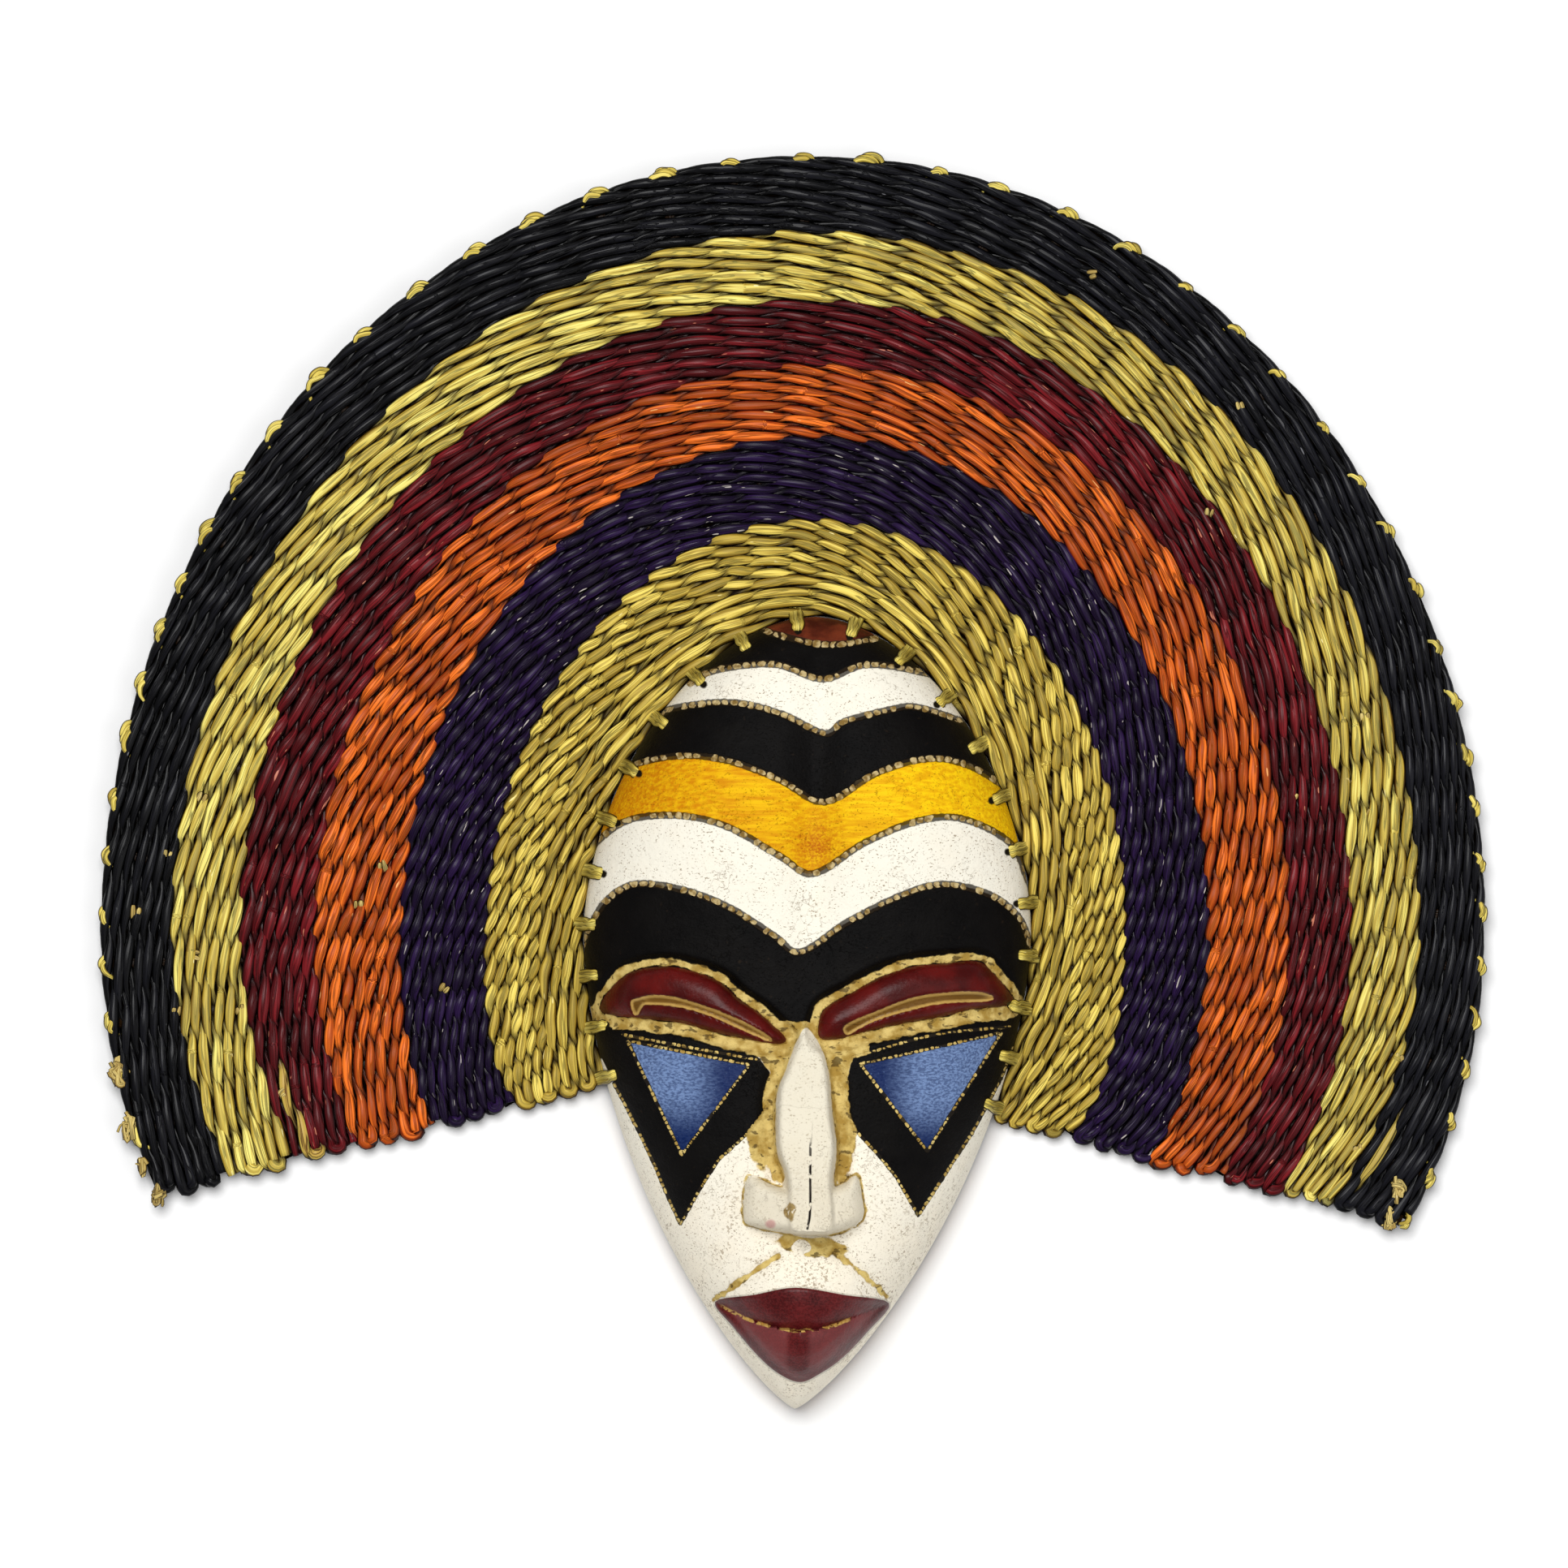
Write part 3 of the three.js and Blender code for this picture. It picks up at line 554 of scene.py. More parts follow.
def grain(scale, detail=2, stretch=None):
    """Noise from 0 to 1, its grains drawn out where the stretch is small."""
    vector = place
    if stretch:
        vector = node(tree, "VectorMath", {"operation": "MULTIPLY"}, {0: place, 1: stretch})[0]
    return node(tree, "TexNoise", None, {"Vector": vector, "Scale": scale, "Detail": detail})[0]


ragged = (grain(700) - 0.5) * 1.3
rough_edge = (grain(200, 5) - 0.5) * 3.2


def inside(name, edge=0, blur=0.12, shake=0):
    """1 inside a kept shape and 0 outside it, across an edge that the shake makes ragged."""
    return (kept_value[name] + shake).rise(edge - blur, edge + blur)


def outside(name, start, end, shake):
    """1 close to a kept line or place and 0 away from it."""
    return 1 - (kept_value[name] + shake).rise(start, end)


def beads(away, along, pitch, half, seed):
    """A row of small blocks: the dark line they lie in, and the blocks themselves."""
    place_in_row = along / pitch + (grain(140) - 0.5) * 1.1 + (grain(420) - 0.5) * 0.9 + seed
    block = place_in_row.floor()
    chance, other = (
        node(tree, "TexWhiteNoise", {"noise_dimensions": "1D"}, {"W": number})[0]
        for number in (block, block + 0.37)
    )
    middle = (place_in_row.fraction() - 0.5).size()
    height = half * (0.7 + chance * 0.5)
    shape = (middle / (0.47 - other * 0.13)) ** 3 + ((away + ragged * 0.3) / height) ** 3
    shown = 1 - shape.rise(0.75, 1.25)
    groove = 1 - (away + ragged * 0.5).rise(half * 0.95, half * 1.3)
    return groove, shown * other.rise(0.05, 0.12)


speckle = grain(1500, 2)
blotch = grain(110, 4)
chips = grain(2600, 1).rise(0.66, 0.74) * kept_value["low"] * grain(180).rise(0.3, 0.6)
scrapes = grain(900, 5).rise(0.56, 0.62) * grain(80, 3).rise(0.46, 0.6) * kept_value["low"]
speck = (grain(1900, 3, (0.7, 1, 1)).rise(0.6, 0.67) * grain(260).rise(0.34, 0.56)).high(chips)
crazing = 1 - (grain(260, 5) - 0.5).size().rise(0, 0.010)
crazing = crazing * grain(70).rise(0.52, 0.62)
cream_tone = kept_value["low"] * 0.7 + blotch.rise(0.4, 0.75) * 0.4
cream = mix(cream_tone, (250, 245, 229), (251, 242, 222))
cream = mix((speck * 0.7).high(crazing * 0.45).high(scrapes * 0.6), cream, (136, 108, 66))
# the yellow is brush-streaked, and painted lighter right of the middle: painted light on the forehead's
# right half
sideways = node(tree, "SeparateXYZ", None, {0: place})[0]
yellow_brush_and_light = grain(900, 3, (0.07, 1, 1)).rise(0.3, 0.7) * 0.65 + sideways.rise(-0.04, 0.05) * 0.4
yellow = mix(yellow_brush_and_light, (216, 140, 0), (255, 208, 12))
stained = kept_value["stain"].low(1) * (0.3 + speckle.rise(0.35, 0.65) * 0.55)
yellow = mix(stained, yellow, (178, 78, 4))
yellow = mix(speck * 0.5, yellow, (110, 62, 8))
coal = mix(blotch.rise(0.3, 0.7), (2, 1, 1), (8, 6, 5))
coal = mix(grain(520, 4).rise(0.64, 0.8) * 0.3, coal, (60, 46, 32))
umber = mix(blotch.rise(0.35, 0.65), (66, 20, 9), (118, 50, 27))
block_wood = mix(grain(500, 3).rise(0.35, 0.65), (132, 104, 52), (206, 184, 132))
brush_blue = grain(1700, 3, (0.4, 1, 1)).rise(0.34, 0.66)
blue_tone = kept_value["outer"] * (0.38 + brush_blue * 0.58) + brush_blue * 0.05
blue = mix(blue_tone, (4, 30, 82), (120, 145, 190))
blue = mix(speckle.rise(0.64, 0.75) * 0.5, blue, (96, 124, 172))
strip_wood = mix(grain(260, 5).rise(0.35, 0.65), (168, 136, 62), (222, 196, 120))
strip_wood = mix(grain(500, 3, (0.5, 1, 1)).rise(0.57, 0.64) * 0.75, strip_wood, (60, 42, 18))
lid_red = mix(blotch.rise(0.3, 0.7), (64, 6, 5), (96, 15, 12))
# the slit's bare wood is painted darker towards its middle: painted shade down in the slit
slit_wood_and_shade = mix(inside("slit", 0.75, 0.4), (196, 160, 88), (110, 76, 24))
nose_cream = mix(0.45 + blotch * 0.2, cream, (222, 211, 184))
wound_wood = mix(grain(800), (84, 54, 22), (208, 180, 116))
lip_tone = blotch.rise(0.3, 0.7) * 0.6 + speckle.rise(0.4, 0.6) * 0.4
lip_red = mix(lip_tone, (60, 8, 10), (108, 34, 35))
bare = mix(grain(300, 5, (1, 0.15, 1)).rise(0.3, 0.7), (150, 112, 68), (190, 154, 104))

# the forehead's stripes, counted from the crown, and the cheeks below them
stripe_at = kept_value["stripe"]
colour = umber
for line, tint in enumerate([coal, cream, coal, yellow, cream, coal]):
    colour = mix((stripe_at + ragged * 0.02).rise(line - 0.01, line + 0.01), colour, tint)
colour = mix(inside("dark", 0, 0.15), mix(stripe_at.rise(4.999, 5.001), colour, cream), coal)
groove, block = beads(kept_value["line_away"], kept_value["line_along"], 2.6, 0.95, 0)
seam_groove, seam_block = beads(kept_value["seam_away"], kept_value["seam_along"], 1.7, 0.46, 0.4)
on_cheek = inside("dark", -1.2)
gold_zone = inside("gold", 0, 0.2, rough_edge * 0.95)
nose_crack = 1 - kept_value["crack"].rise(0.12, 0.3 + grain(400) * 0.3)
parting_gold = outside("mouth", 0.3, 0.7, ragged * 0.5) * inside("lips", 0.6)
# then every coat and mark, in the order in which one lies over another
for cover, tint in [
    (groove * 0.9, (36, 26, 13)),
    (block, block_wood),
    (inside("blue"), blue),
    (seam_groove * on_cheek, (30, 24, 16)),
    (seam_block * on_cheek, strip_wood),
    (gold_zone, strip_wood),
    (inside("lid", 0, 0.15, ragged * 0.3), lid_red),
    # the slit's wood, with painted shade in its depth
    (inside("slit", 0, 0.2, ragged * 0.5), slit_wood_and_shade),
    (inside("nose", 0, 0.2, rough_edge * 0.3), nose_cream),
    (nose_crack * grain(330).rise(0.38, 0.46), (24, 16, 12)),
    (outside("wound", 0.7, 0.95, rough_edge * 0.45) * grain(500).rise(0.3, 0.38), wound_wood),
    (outside("smear", 0.5, 1.2, rough_edge * 0.2) * 0.6, (204, 120, 124)),
    ((1 - (kept_value["lips"] + 0.1).size().rise(0.15, 0.4)) * 0.3, (20, 12, 12)),
    (inside("lips", 0.1), lip_red),
    # the lower lip's side facets, a painted highlight
    (kept_value["lip_highlight"] * 0.35, (150, 84, 84)),
    (parting_gold * grain(300).rise(0.46, 0.52) * kept_value["parted"], (196, 158, 84)),
    (1 - kept_value["front"].rise(0.4, 0.6), bare),
    # the cord holes are painted near black: painted shade inside them
    (outside("hole", 0.9, 1.5, ragged * 0.3), (14, 10, 6)),
]:
    colour = mix(cover, colour, tint)
colour.into(surface, "Base Color")
gloss = inside("lid").high(inside("lips")).high(inside("blue") * 0.6)
(gloss * 0.14).into(surface, "Coat Weight")
(0.6 - gloss * 0.28 + grain(500) * 0.1 + block * 0.1).into(surface, "Roughness")
relief = grain(900, 3) * 0.35 + grain(220, 3) * 0.8 + speckle * 0.15 - speck * 0.3 - crazing * 0.35
relief = relief - groove * 1.3 + block * 1.4 - (seam_groove * 0.9 - seam_block * 0.9) * on_cheek
relief = relief - gold_zone * (0.6 - grain(900, 3) * 0.3)
node(tree, "Bump", None, {"Strength": 0.6, "Distance": 0.0007, "Height": relief})[0].into(surface, "Normal")
lay(mask_piece, painted, "painted_wood", "carved_mask")

# The fan is two-strand twining. Each weft row is a pair of split raffia strands that twist round
# each other over the warp stakes, and the pair turns at the hem and runs back as the next row.
# Rows follow the mask's outline at the inside and grow into wide tilted half ellipses.
ROWS = 43
BAND_ROWS = [9, 8, 7, 6, 6, 7]
BAND_REACH = [
    [103, 97.5, 127.5, 99, 103.5],
    [128, 124, 153, 124.5, 127.5],
    [152, 150.5, 175, 149.5, 149],
    [171, 173.5, 195, 168.5, 167.5],
    [191.5, 194.5, 216, 189.5, 182],
    [214, 216, 239, 209, 205.5],
]
FAN_TILT = math.radians(3)
HEM_ANGLE = math.radians(26)
LEFT_HEM = (31.7, math.radians(13.9))
RIGHT_HEM = (42.4, math.radians(14.2))


def boundary_reach(index, angle):
    """How far a line between two bands lies from the eye: an arch, with skirts under its ends."""
    if index == 0:
        return mask_reach(angle) + 0.6
    left_hem, left, top, right, right_hem = BAND_REACH[index - 1]
    turned = angle + FAN_TILT
    on_left = np.cos(turned) < 0
    side = np.where(on_left, left, right)
    hem = np.where(on_left, left_hem, right_hem)
    below = np.maximum(turned - math.pi, -turned) / HEM_ANGLE
    arch = 1 / np.hypot(np.cos(turned) / side, np.sin(turned) / top)
    skirt = side + (hem - side) * np.clip(below, 0, 1) ** 1.5
    return np.where(below <= 0, arch, skirt)


def row_reach(row, angle):
    """How far a row lies from the eye, as a part of the way through its band."""
    first = 0
    index = 0
    while index < 5 and row > first + BAND_ROWS[index]:
        first += BAND_ROWS[index]
        index += 1
    part = (row - first) / BAND_ROWS[index]
    return boundary_reach(index, angle) * (1 - part) + boundary_reach(index + 1, angle) * part


def row_ends(row, inset=0.0):
    """The angles where a row meets the two straight hems."""
    left = np.array([math.radians(210)])
    right = np.array([math.radians(-30)])
    for _ in range(12):
        left = math.radians(270) + LEFT_HEM[1] - np.arccos((LEFT_HEM[0] - inset) / row_reach(row, left))
        right = math.radians(-90) - RIGHT_HEM[1] + np.arccos((RIGHT_HEM[0] - inset) / row_reach(row, right))
    return left[0], right[0]


def sheet_height(row, angle):
    out = row / ROWS
    return (4.4 + 3.5 * out**2 + 1.2 * out * np.sin(3 * angle + 0.6)) / 1000


def row_line(row, count, wander, draw):
    """Points of one row from its left hem to its right one, and the angles they lie at."""
    left, right = row_ends(row, 2.8) + draw.normal(0, 0.004, 2)
    angle = np.linspace(left, right, count)
    reach = row_reach(row, angle) / 1000
    for wave in range(3, 12):
        reach = reach + wander * draw.normal() / wave * np.sin(wave * angle + draw.uniform(0, 6.3))
    x = EYE[0] + reach * np.cos(angle)
    y = EYE[1] + reach * np.sin(angle)
    return np.stack([x, y, sheet_height(row, angle)], 1), angle


def tubes_mesh(name, lines, sides=8):
    """Closed tubes, each given by its points, sideways and upward radii, a level (the sheet's height)
    and pitch from which the finish paints shade, and tones.
    """
    points, quads, uvs, tones = [], [], [], []
    start = 0
    turn = np.linspace(0, 2 * math.pi, sides, endpoint=False)
    # split leaf folds to a tube with a flattened top
    flattened = np.sign(np.sin(turn)) * np.abs(np.sin(turn)) ** 0.75
    for line, wide, tall, level, pitch, tone, stray, grain in lines:
        # one more point at each end closes the tube to a tip
        line, level, pitch, tone, stray = (
            np.concatenate([values[:1], values, values[-1:]]) for values in (line, level, pitch, tone, stray)
        )
        wide, tall = (
            np.concatenate([values[:1] * 0.02, values, values[-1:] * 0.02]) for values in (wide, tall)
        )
        count = len(line)
        ahead = np.gradient(line[1:-1], axis=0)
        ahead /= np.linalg.norm(ahead, axis=1)[:, None]
        ahead = np.concatenate([ahead[:1], ahead, ahead[-1:]])
        side = np.cross(ahead, [0, 0, 1.0])
        side /= np.linalg.norm(side, axis=1)[:, None] + 1e-9
        up = np.cross(side, ahead)
        ring = (
            line[:, None, :]
            + side[:, None, :] * (np.cos(turn)[None, :] * wide[:, None])[:, :, None]
            + up[:, None, :] * (flattened[None, :] * tall[:, None])[:, :, None]
        )
        points.append(ring.reshape(-1, 3))
        quads.append(start + tube_faces(count, sides))
        steps = lengths_along(line) + grain
        u, v = np.meshgrid(steps, np.arange(sides + 1) / sides, indexing="ij")
        here, next_ring = u[:-1, 1:], u[1:, 1:]
        low, high = v[1:, :-1], v[1:, 1:]
        corners = [here, low, next_ring, low, next_ring, high, here, high]
        uvs.append(np.stack(corners, 2).reshape(-1, 2))
        # how high each point stands over the level, in pitches: the finish paints shade where it is low
        rise = (ring[:, :, 2] - level[:, None]) / pitch[:, None]
        same = np.ones(sides)
        tones.append(np.stack([rise, tone[:, None] * same, stray[:, None] * same], 2).reshape(-1, 3))
        start += count * sides
    points, quads, tones = map(np.concatenate, (points, quads, tones))
    mesh = bpy.data.meshes.new(name)
    mesh.from_pydata(points, [], quads, shade_flat=False)
    mesh.uv_layers.new(name="strand").data.foreach_set("uv", np.concatenate(uvs).ravel())
    for number, kept_name in enumerate(["rise", "tone", "stray"]):
        mesh.attributes.new(kept_name, "FLOAT", "POINT").data.foreach_set("value", tones[:, number])
    return new_object(name, mesh)


def waves(angle, draw, size, first, last):
    """A slow wander along a row."""
    total = np.zeros_like(angle)
    for wave in range(first, last):
        total += size * draw.normal() / math.sqrt(wave) * np.sin(wave * angle + draw.uniform(0, 6.3))
    return total


# The stakes run straight out under the weft, about 4.6 degrees apart at the sides and 5.2 at the
# top. Each row makes half a turn from one stake to the next, so its stitches lie over the stakes.
FIRST_STAKE = math.radians(196.7)
round_fan = np.linspace(-0.8, math.pi + 0.8, 1200)
stake_rate = 39.1 * (1 - 0.12 * np.clip(np.sin(round_fan + FAN_TILT), 0, 1) ** 2)
stake_turn = np.cumsum(stake_rate) * (round_fan[1] - round_fan[0])
stake_turn += waves(round_fan, np.random.default_rng(4), 0.14, 3, 40)
stake_turn += math.pi / 2 - np.interp(FIRST_STAKE, round_fan, stake_turn)


def woven_band(name, first_row, rows, seed, doubled=0, strays=(), lighter_right=0.0):
    """One band: two strands twist round each other along one line that turns back at the hems.
    The doubled rows take two stakes at a time. A stray is a row, a start and an end where a strand
    of another colour was laid in. The last argument is how much lighter the leaf is made on the
    fan's right, negative for darker: in the black band this is a painted sheen."""
    draw = np.random.default_rng(seed)
    parts = []
    for i in range(rows):
        row = first_row + i + 0.5
        points, angle = row_line(row, 1400, 0.00006, draw)
        own = -np.interp(angle, round_fan, stake_turn) * (0.5 if i < doubled else 1)
        own += waves(angle, draw, 0.22, 3, 50)
        width = (row_reach(row + 0.5, angle) - row_reach(row - 0.5, angle)) / 1000
        foreign = np.zeros_like(angle)
        for stray_row, start, end in strays:
            if stray_row == i:
                foreign[(angle > math.radians(start)) & (angle < math.radians(end))] = 1
        if i % 2:
            points, width, foreign = points[::-1], width[::-1], foreign[::-1]
            own = math.pi - own[::-1]
        if parts:
            # the turn at the hem, a half ellipse in ten points
            row_before, last = parts[-1][0], parts[-1][1][-1]
            before, after = row_before[-1], points[0]
            out = before - row_before[-4]
            out /= np.linalg.norm(out)
            bend = np.linspace(0, math.pi, 12)[1:-1, None]
            middle = (before + after) / 2
            reach = np.linalg.norm(after - before) * 0.36
            turn = middle + (before - middle) * np.cos(bend) + out * reach * np.sin(bend)
            own = own - own[0] + last + 1.9 + (own[0] - last - 1.9) % math.pi
            same = np.ones(10)
            going_on = np.linspace(last, own[0], 12)[1:-1]
            parts.append((turn, going_on, width[0] * same, foreign[0] * same, same))
        parts.append((points, own, width, foreign, np.zeros(len(points))))
    line, phase, pitch, stray, bent = map(np.concatenate, zip(*parts))
    steps = lengths_along(line)
    # points lie closer together round the turns
    pace = np.concatenate([[0], np.cumsum(np.diff(steps) * (1 + 1.4 * bent[1:]))])
    at = np.interp(np.arange(0, pace[-1], 0.00145), pace, steps)
    line = np.stack([np.interp(at, steps, line[:, k]) for k in range(3)], 1)
    phase, pitch, stray, bent = (np.interp(at, steps, values) for values in (phase, pitch, stray, bent))
    bent = np.convolve(bent, np.ones(7) / 7, "same")
    ahead = np.gradient(line, axis=0)
    ahead /= np.linalg.norm(ahead, axis=1)[:, None]
    side = np.stack([-ahead[:, 1], ahead[:, 0], np.zeros(len(line))], 1)
    strands = []
    for k in range(2):
        twist = phase + k * math.pi
        over = np.sin(twist)
        flat = np.abs(over)
        # a stitch lies straight over its stake, widest there, and runs to a point beside the next
        across = 0.33 * (1 - 0.3 * bent) * (np.cos(twist) + 0.06 * np.cos(3 * twist))
        above = 0.11 + 0.29 * np.sign(over) * flat**0.85
        stitch = np.floor(twist / (2 * math.pi) + 0.25).astype(int)
        stitch -= stitch.min()
        own_tone = draw.uniform(0, 1, stitch.max() + 1)[stitch]
        own_width = draw.normal(1, 0.06, stitch.max() + 1)[stitch]
        first_of = np.searchsorted(np.maximum.accumulate(stitch), np.arange(stitch.max() + 1))
        stray_here = np.round(stray[np.minimum(first_of, len(stray) - 1)])[stitch]
        marks = np.arange(0, at[-1] + 0.012, 0.012)
        drift = np.interp(at, marks, draw.normal(0, 0.05, len(marks)))
        marks, values = [0.0], [draw.uniform(0, 1)]
        while marks[-1] < at[-1]:
            marks.append(marks[-1] + draw.uniform(0.05, 0.18))
            values.append(draw.uniform(0, 1))
        leaf = np.array(values)[np.searchsorted(marks, at, side="right") - 1]
        right = np.clip((line[:, 0] - EYE[0]) / 0.2 + 0.3, 0, 1)
        # the leaf is made lighter towards the fan's right by the last argument, darker where it is negative:
        # in the black band a painted sheen
        tone = np.clip(0.5 * leaf + 0.5 * own_tone + lighter_right * right, 0, 1)
        leaf_wide = own_width * (0.31 + np.where(over > 0, 0.22, 0.12) * flat**0.9)
        wide = pitch * (leaf_wide + 0.1 * bent)
        tall = pitch * (0.2 + 0.11 * flat)
        path = line + side * (pitch * (across + drift))[:, None]
        path[:, 2] += pitch * above
        strands.append([path, wide, tall, line[:, 2], pitch, tone, stray_here, draw.uniform(0, 5)])
    return tubes_mesh(name, strands)


def raffia(name, gap, dark, middle, light, other, flecks, fleck_colour, rough):
    """Split palm leaf: a tone for each leaf and stitch, painted shade in its fine creases and where
    strands dive, and a painted highlight along each strand's top.
    """
    material, tree, surface = new_finish(name, Specular_IOR_Level=0.15)
    place = node(tree, "UVMap", {"uv_map": "strand"})[0]
    along, around, _ = node(tree, "SeparateXYZ", None, {0: place})
    rise, tone, stray = (kept_wire(tree, name) for name in ("rise", "tone", "stray"))

    def streaks(lengthwise, crosswise, apart, detail):
        vector = node(tree, "CombineXYZ", None, {0: along * lengthwise, 1: around * crosswise, 2: apart})[0]
        return node(tree, "TexNoise", None, {"Vector": vector, "Scale": 1, "Detail": detail})[0]

    fibre = streaks(60, 13, tone * 37, 2)
    crease = 1 - (streaks(45, 8, tone * 53 + 7, 1) - 0.5).size().rise(0.008, 0.045)
    value = tone * 0.55 + fibre.rise(0.3, 0.7) * 0.5
    colour = mix(value.rise(0.1, 0.55), dark, middle)
    colour = mix(value.rise(0.42, 0.88), colour, light)
    fleck = streaks(170, 9, tone * 11 + 3, 1)
    colour = mix(fleck.rise(1 - flecks, 1.02 - flecks), colour, fleck_colour)
    colour = mix(stray, colour, other)
    # creases are painted in the gap colour: painted shade
    colour = mix(crease * 0.85, colour, gap)
    # a painted highlight along the top of each strand, and painted shade in the gap colour where a strand
    # dives below the sheet or turns its flank away
    facing = (around * 6.2832).wave()
    colour = mix(facing.rise(0.6, 1.0) * 0.3, colour, light)
    colour = mix(rise.rise(0.08, 0.46) * facing.rise(0.12, 0.86), gap, colour)
    colour.into(surface, "Base Color")
    (rough - fibre * 0.12 + crease * 0.2).into(surface, "Roughness")
    height = fibre * 0.5 - crease * 1.2
    bump = node(tree, "Bump", None, {"Strength": 0.6, "Distance": 0.0004, "Height": height})[0]
    bump.into(surface, "Normal")
    return material


straw_gold = (216, 188, 88)
straw = raffia("straw raffia", (24, 8, 0), (104, 68, 2), (190, 155, 44), (255, 240, 130),
               (24, 20, 20), 0.24, (255, 246, 190), 0.5)
old_straw = raffia("old straw raffia", (24, 8, 0), (84, 52, 0), (152, 118, 24),
                   (252, 226, 108), (24, 20, 20), 0.24, (250, 236, 170), 0.5)
purple = raffia("purple raffia", (2, 0, 3), (5, 1, 9), (8, 2, 13), (42, 22, 66),
                straw_gold, 0.28, (214, 206, 196), 0.38)
orange = raffia("orange raffia", (26, 1, 0), (76, 6, 0), (130, 29, 0), (255, 126, 40),
                (70, 10, 14), 0.25, (244, 190, 120), 0.46)
burgundy = raffia("burgundy raffia", (10, 0, 0), (20, 0, 1), (42, 1, 3), (126, 28, 34),
                  straw_gold, 0.27, (220, 140, 110), 0.38)
black = raffia("black raffia", (0, 0, 0), (1, 1, 1), (2, 2, 2), (21, 21, 27),
               straw_gold, 0.21, (130, 130, 134), 0.36)

BANDS = [
    ("straw_weft_inner", old_straw, "straw_raffia", "straw_band_inner", {"doubled": 4}),
    ("purple_weft", purple, "purple_raffia", "purple_band", {}),
    ("orange_weft", orange, "orange_raffia", "orange_band", {"strays": [(6, -60, -16)]}),
    ("burgundy_weft", burgundy, "burgundy_raffia", "burgundy_band",
     {"strays": [(3, 198, 230), (4, 196.5, 230)]}),
    ("straw_weft_outer", straw, "straw_raffia", "straw_band_outer",
     {"strays": [(4, -60, -24)], "lighter_right": -0.25}),
    # the black band is painted lighter on the right: a painted sheen
    ("black_weft", black, "black_raffia", "black_band", {"strays": [(1, -60, -23.5)], "lighter_right": 0.55}),
]
for index, (name, finish, slot, solid, extras) in enumerate(BANDS):
    band = woven_band(name, sum(BAND_ROWS[:index]), BAND_ROWS[index], 11 + index, **extras)
    lay(band, finish, slot, solid)

# A near-black matte sheet under each row: painted shade that stands for the deep shade between the stitches.
shade_backing, _, shade_backing_surface = new_finish("packed raffia", Roughness=1.0, Specular_IOR_Level=0.0)
shade_backing_surface.inputs["Base Color"].default_value = paint(7, 4, 2)
draw = np.random.default_rng(17)
layers = []
for row in range(ROWS):
    line, angle = row_line(row + 0.5, 150, 0.0, draw)
    pitch = (row_reach(row + 1, angle) - row_reach(row, angle)) / 1000
    same = np.ones(len(line))
    layers.append([line, 0.56 * pitch, 0.08 * pitch, line[:, 2], pitch, same, same, 0.0])
shade_backing_core = tubes_mesh("shade_backing_core", layers, 4)
lay(shade_backing_core, shade_backing, "black_raffia", *(solid for _, _, _, solid, _ in BANDS))

# Twenty-two bundles of undyed raffia hold the fan. Each ends in a hole in the mask's shoulder and
# splits in two, and these stakes run straight out under the weft. At the outer edge every stake
# turns back, so its bend shows as a small loop between the black stitches.
natural = raffia("undyed raffia", (34, 18, 2), (140, 108, 22), (206, 178, 62),
                 (248, 228, 120), straw_gold, 0.22, (250, 240, 200), 0.5)
frayed = raffia("frayed raffia", (30, 16, 4), (116, 82, 30), (178, 146, 70),
                (228, 204, 126), straw_gold, 0.25, (250, 242, 214), 0.6)


def from_eye(x, y, z):
    """A place given in millimetres from the eye, in metres in the part's frame."""
    return EYE[0] + x / 1000, EYE[1] + y / 1000, z / 1000


def strand(places, radius, draw, taper=False):
    """A loose strand of split raffia through a few places in metres, for tubes_mesh."""
    line = curve(places, steps=4)
    same = np.ones(len(line))
    radius = radius * (1 + 0.1 * np.sin(np.linspace(0, 5, len(line)) + draw.uniform(0, 6)))
    if taper:
        radius = radius * np.sin(np.linspace(0.15, math.pi - 0.15, len(line))) ** 0.35
    tone = draw.uniform(0.2, 1) * same
    # the level and pitch set where the finish paints shade on the strand's underside
    return [line, 1.12 * radius, 0.85 * radius, line[:, 2] - 0.75 * radius, 3 * radius, tone, 0 * same,
            draw.uniform(0, 5)]


# Each place on a tie: how far in from the mask's edge, whether it is measured up from the mask's
# surface or from the floor, and how high.
TIE_ROUTE = [(-4.4, 0, 3.2), (-2.6, 0, 4.6), (-0.9, 0, 8.4), (0.5, 1, 0.9), (1.8, 1, 1.2), (2.9, 1, 0.5),
             (3.7, 1, -1.4), (6.0, 1, -4.5)]
draw = np.random.default_rng(31)
for number in range(HOLES):
    strands = []
    for k in (-1, 0, 1):
        places = []
        for inset, height, lift in TIE_ROUTE:
            at = hole_edge[number] + inwards[number] * inset
            squeeze = 1.2 if inset < 1 else 0.9 if inset < 3 else 0.5
            at = at + ahead[number] * (k * squeeze + draw.normal(0, 0.12))
            places.append(from_eye(*at, height * shoulder(*at) + lift + 0.25 * (k == 0)))
        strands.append(strand(places, 0.0009, draw))
    tie = tubes_mesh("raffia_tie_%02d" % (number + 1), strands, 6)
    lay(tie, natural, "natural_raffia", "warp_cord_%02d" % (number + 1))

# The stakes lie half a turn apart, from the left hem to just past the right one.
half_turns = np.arange(math.pi / 2, -60 * math.pi, -math.pi)
stake_angles = np.interp(half_turns, stake_turn, round_fan)
past_hem = np.argmax(stake_angles < row_ends(ROWS - 0.5)[1] + 0.05)
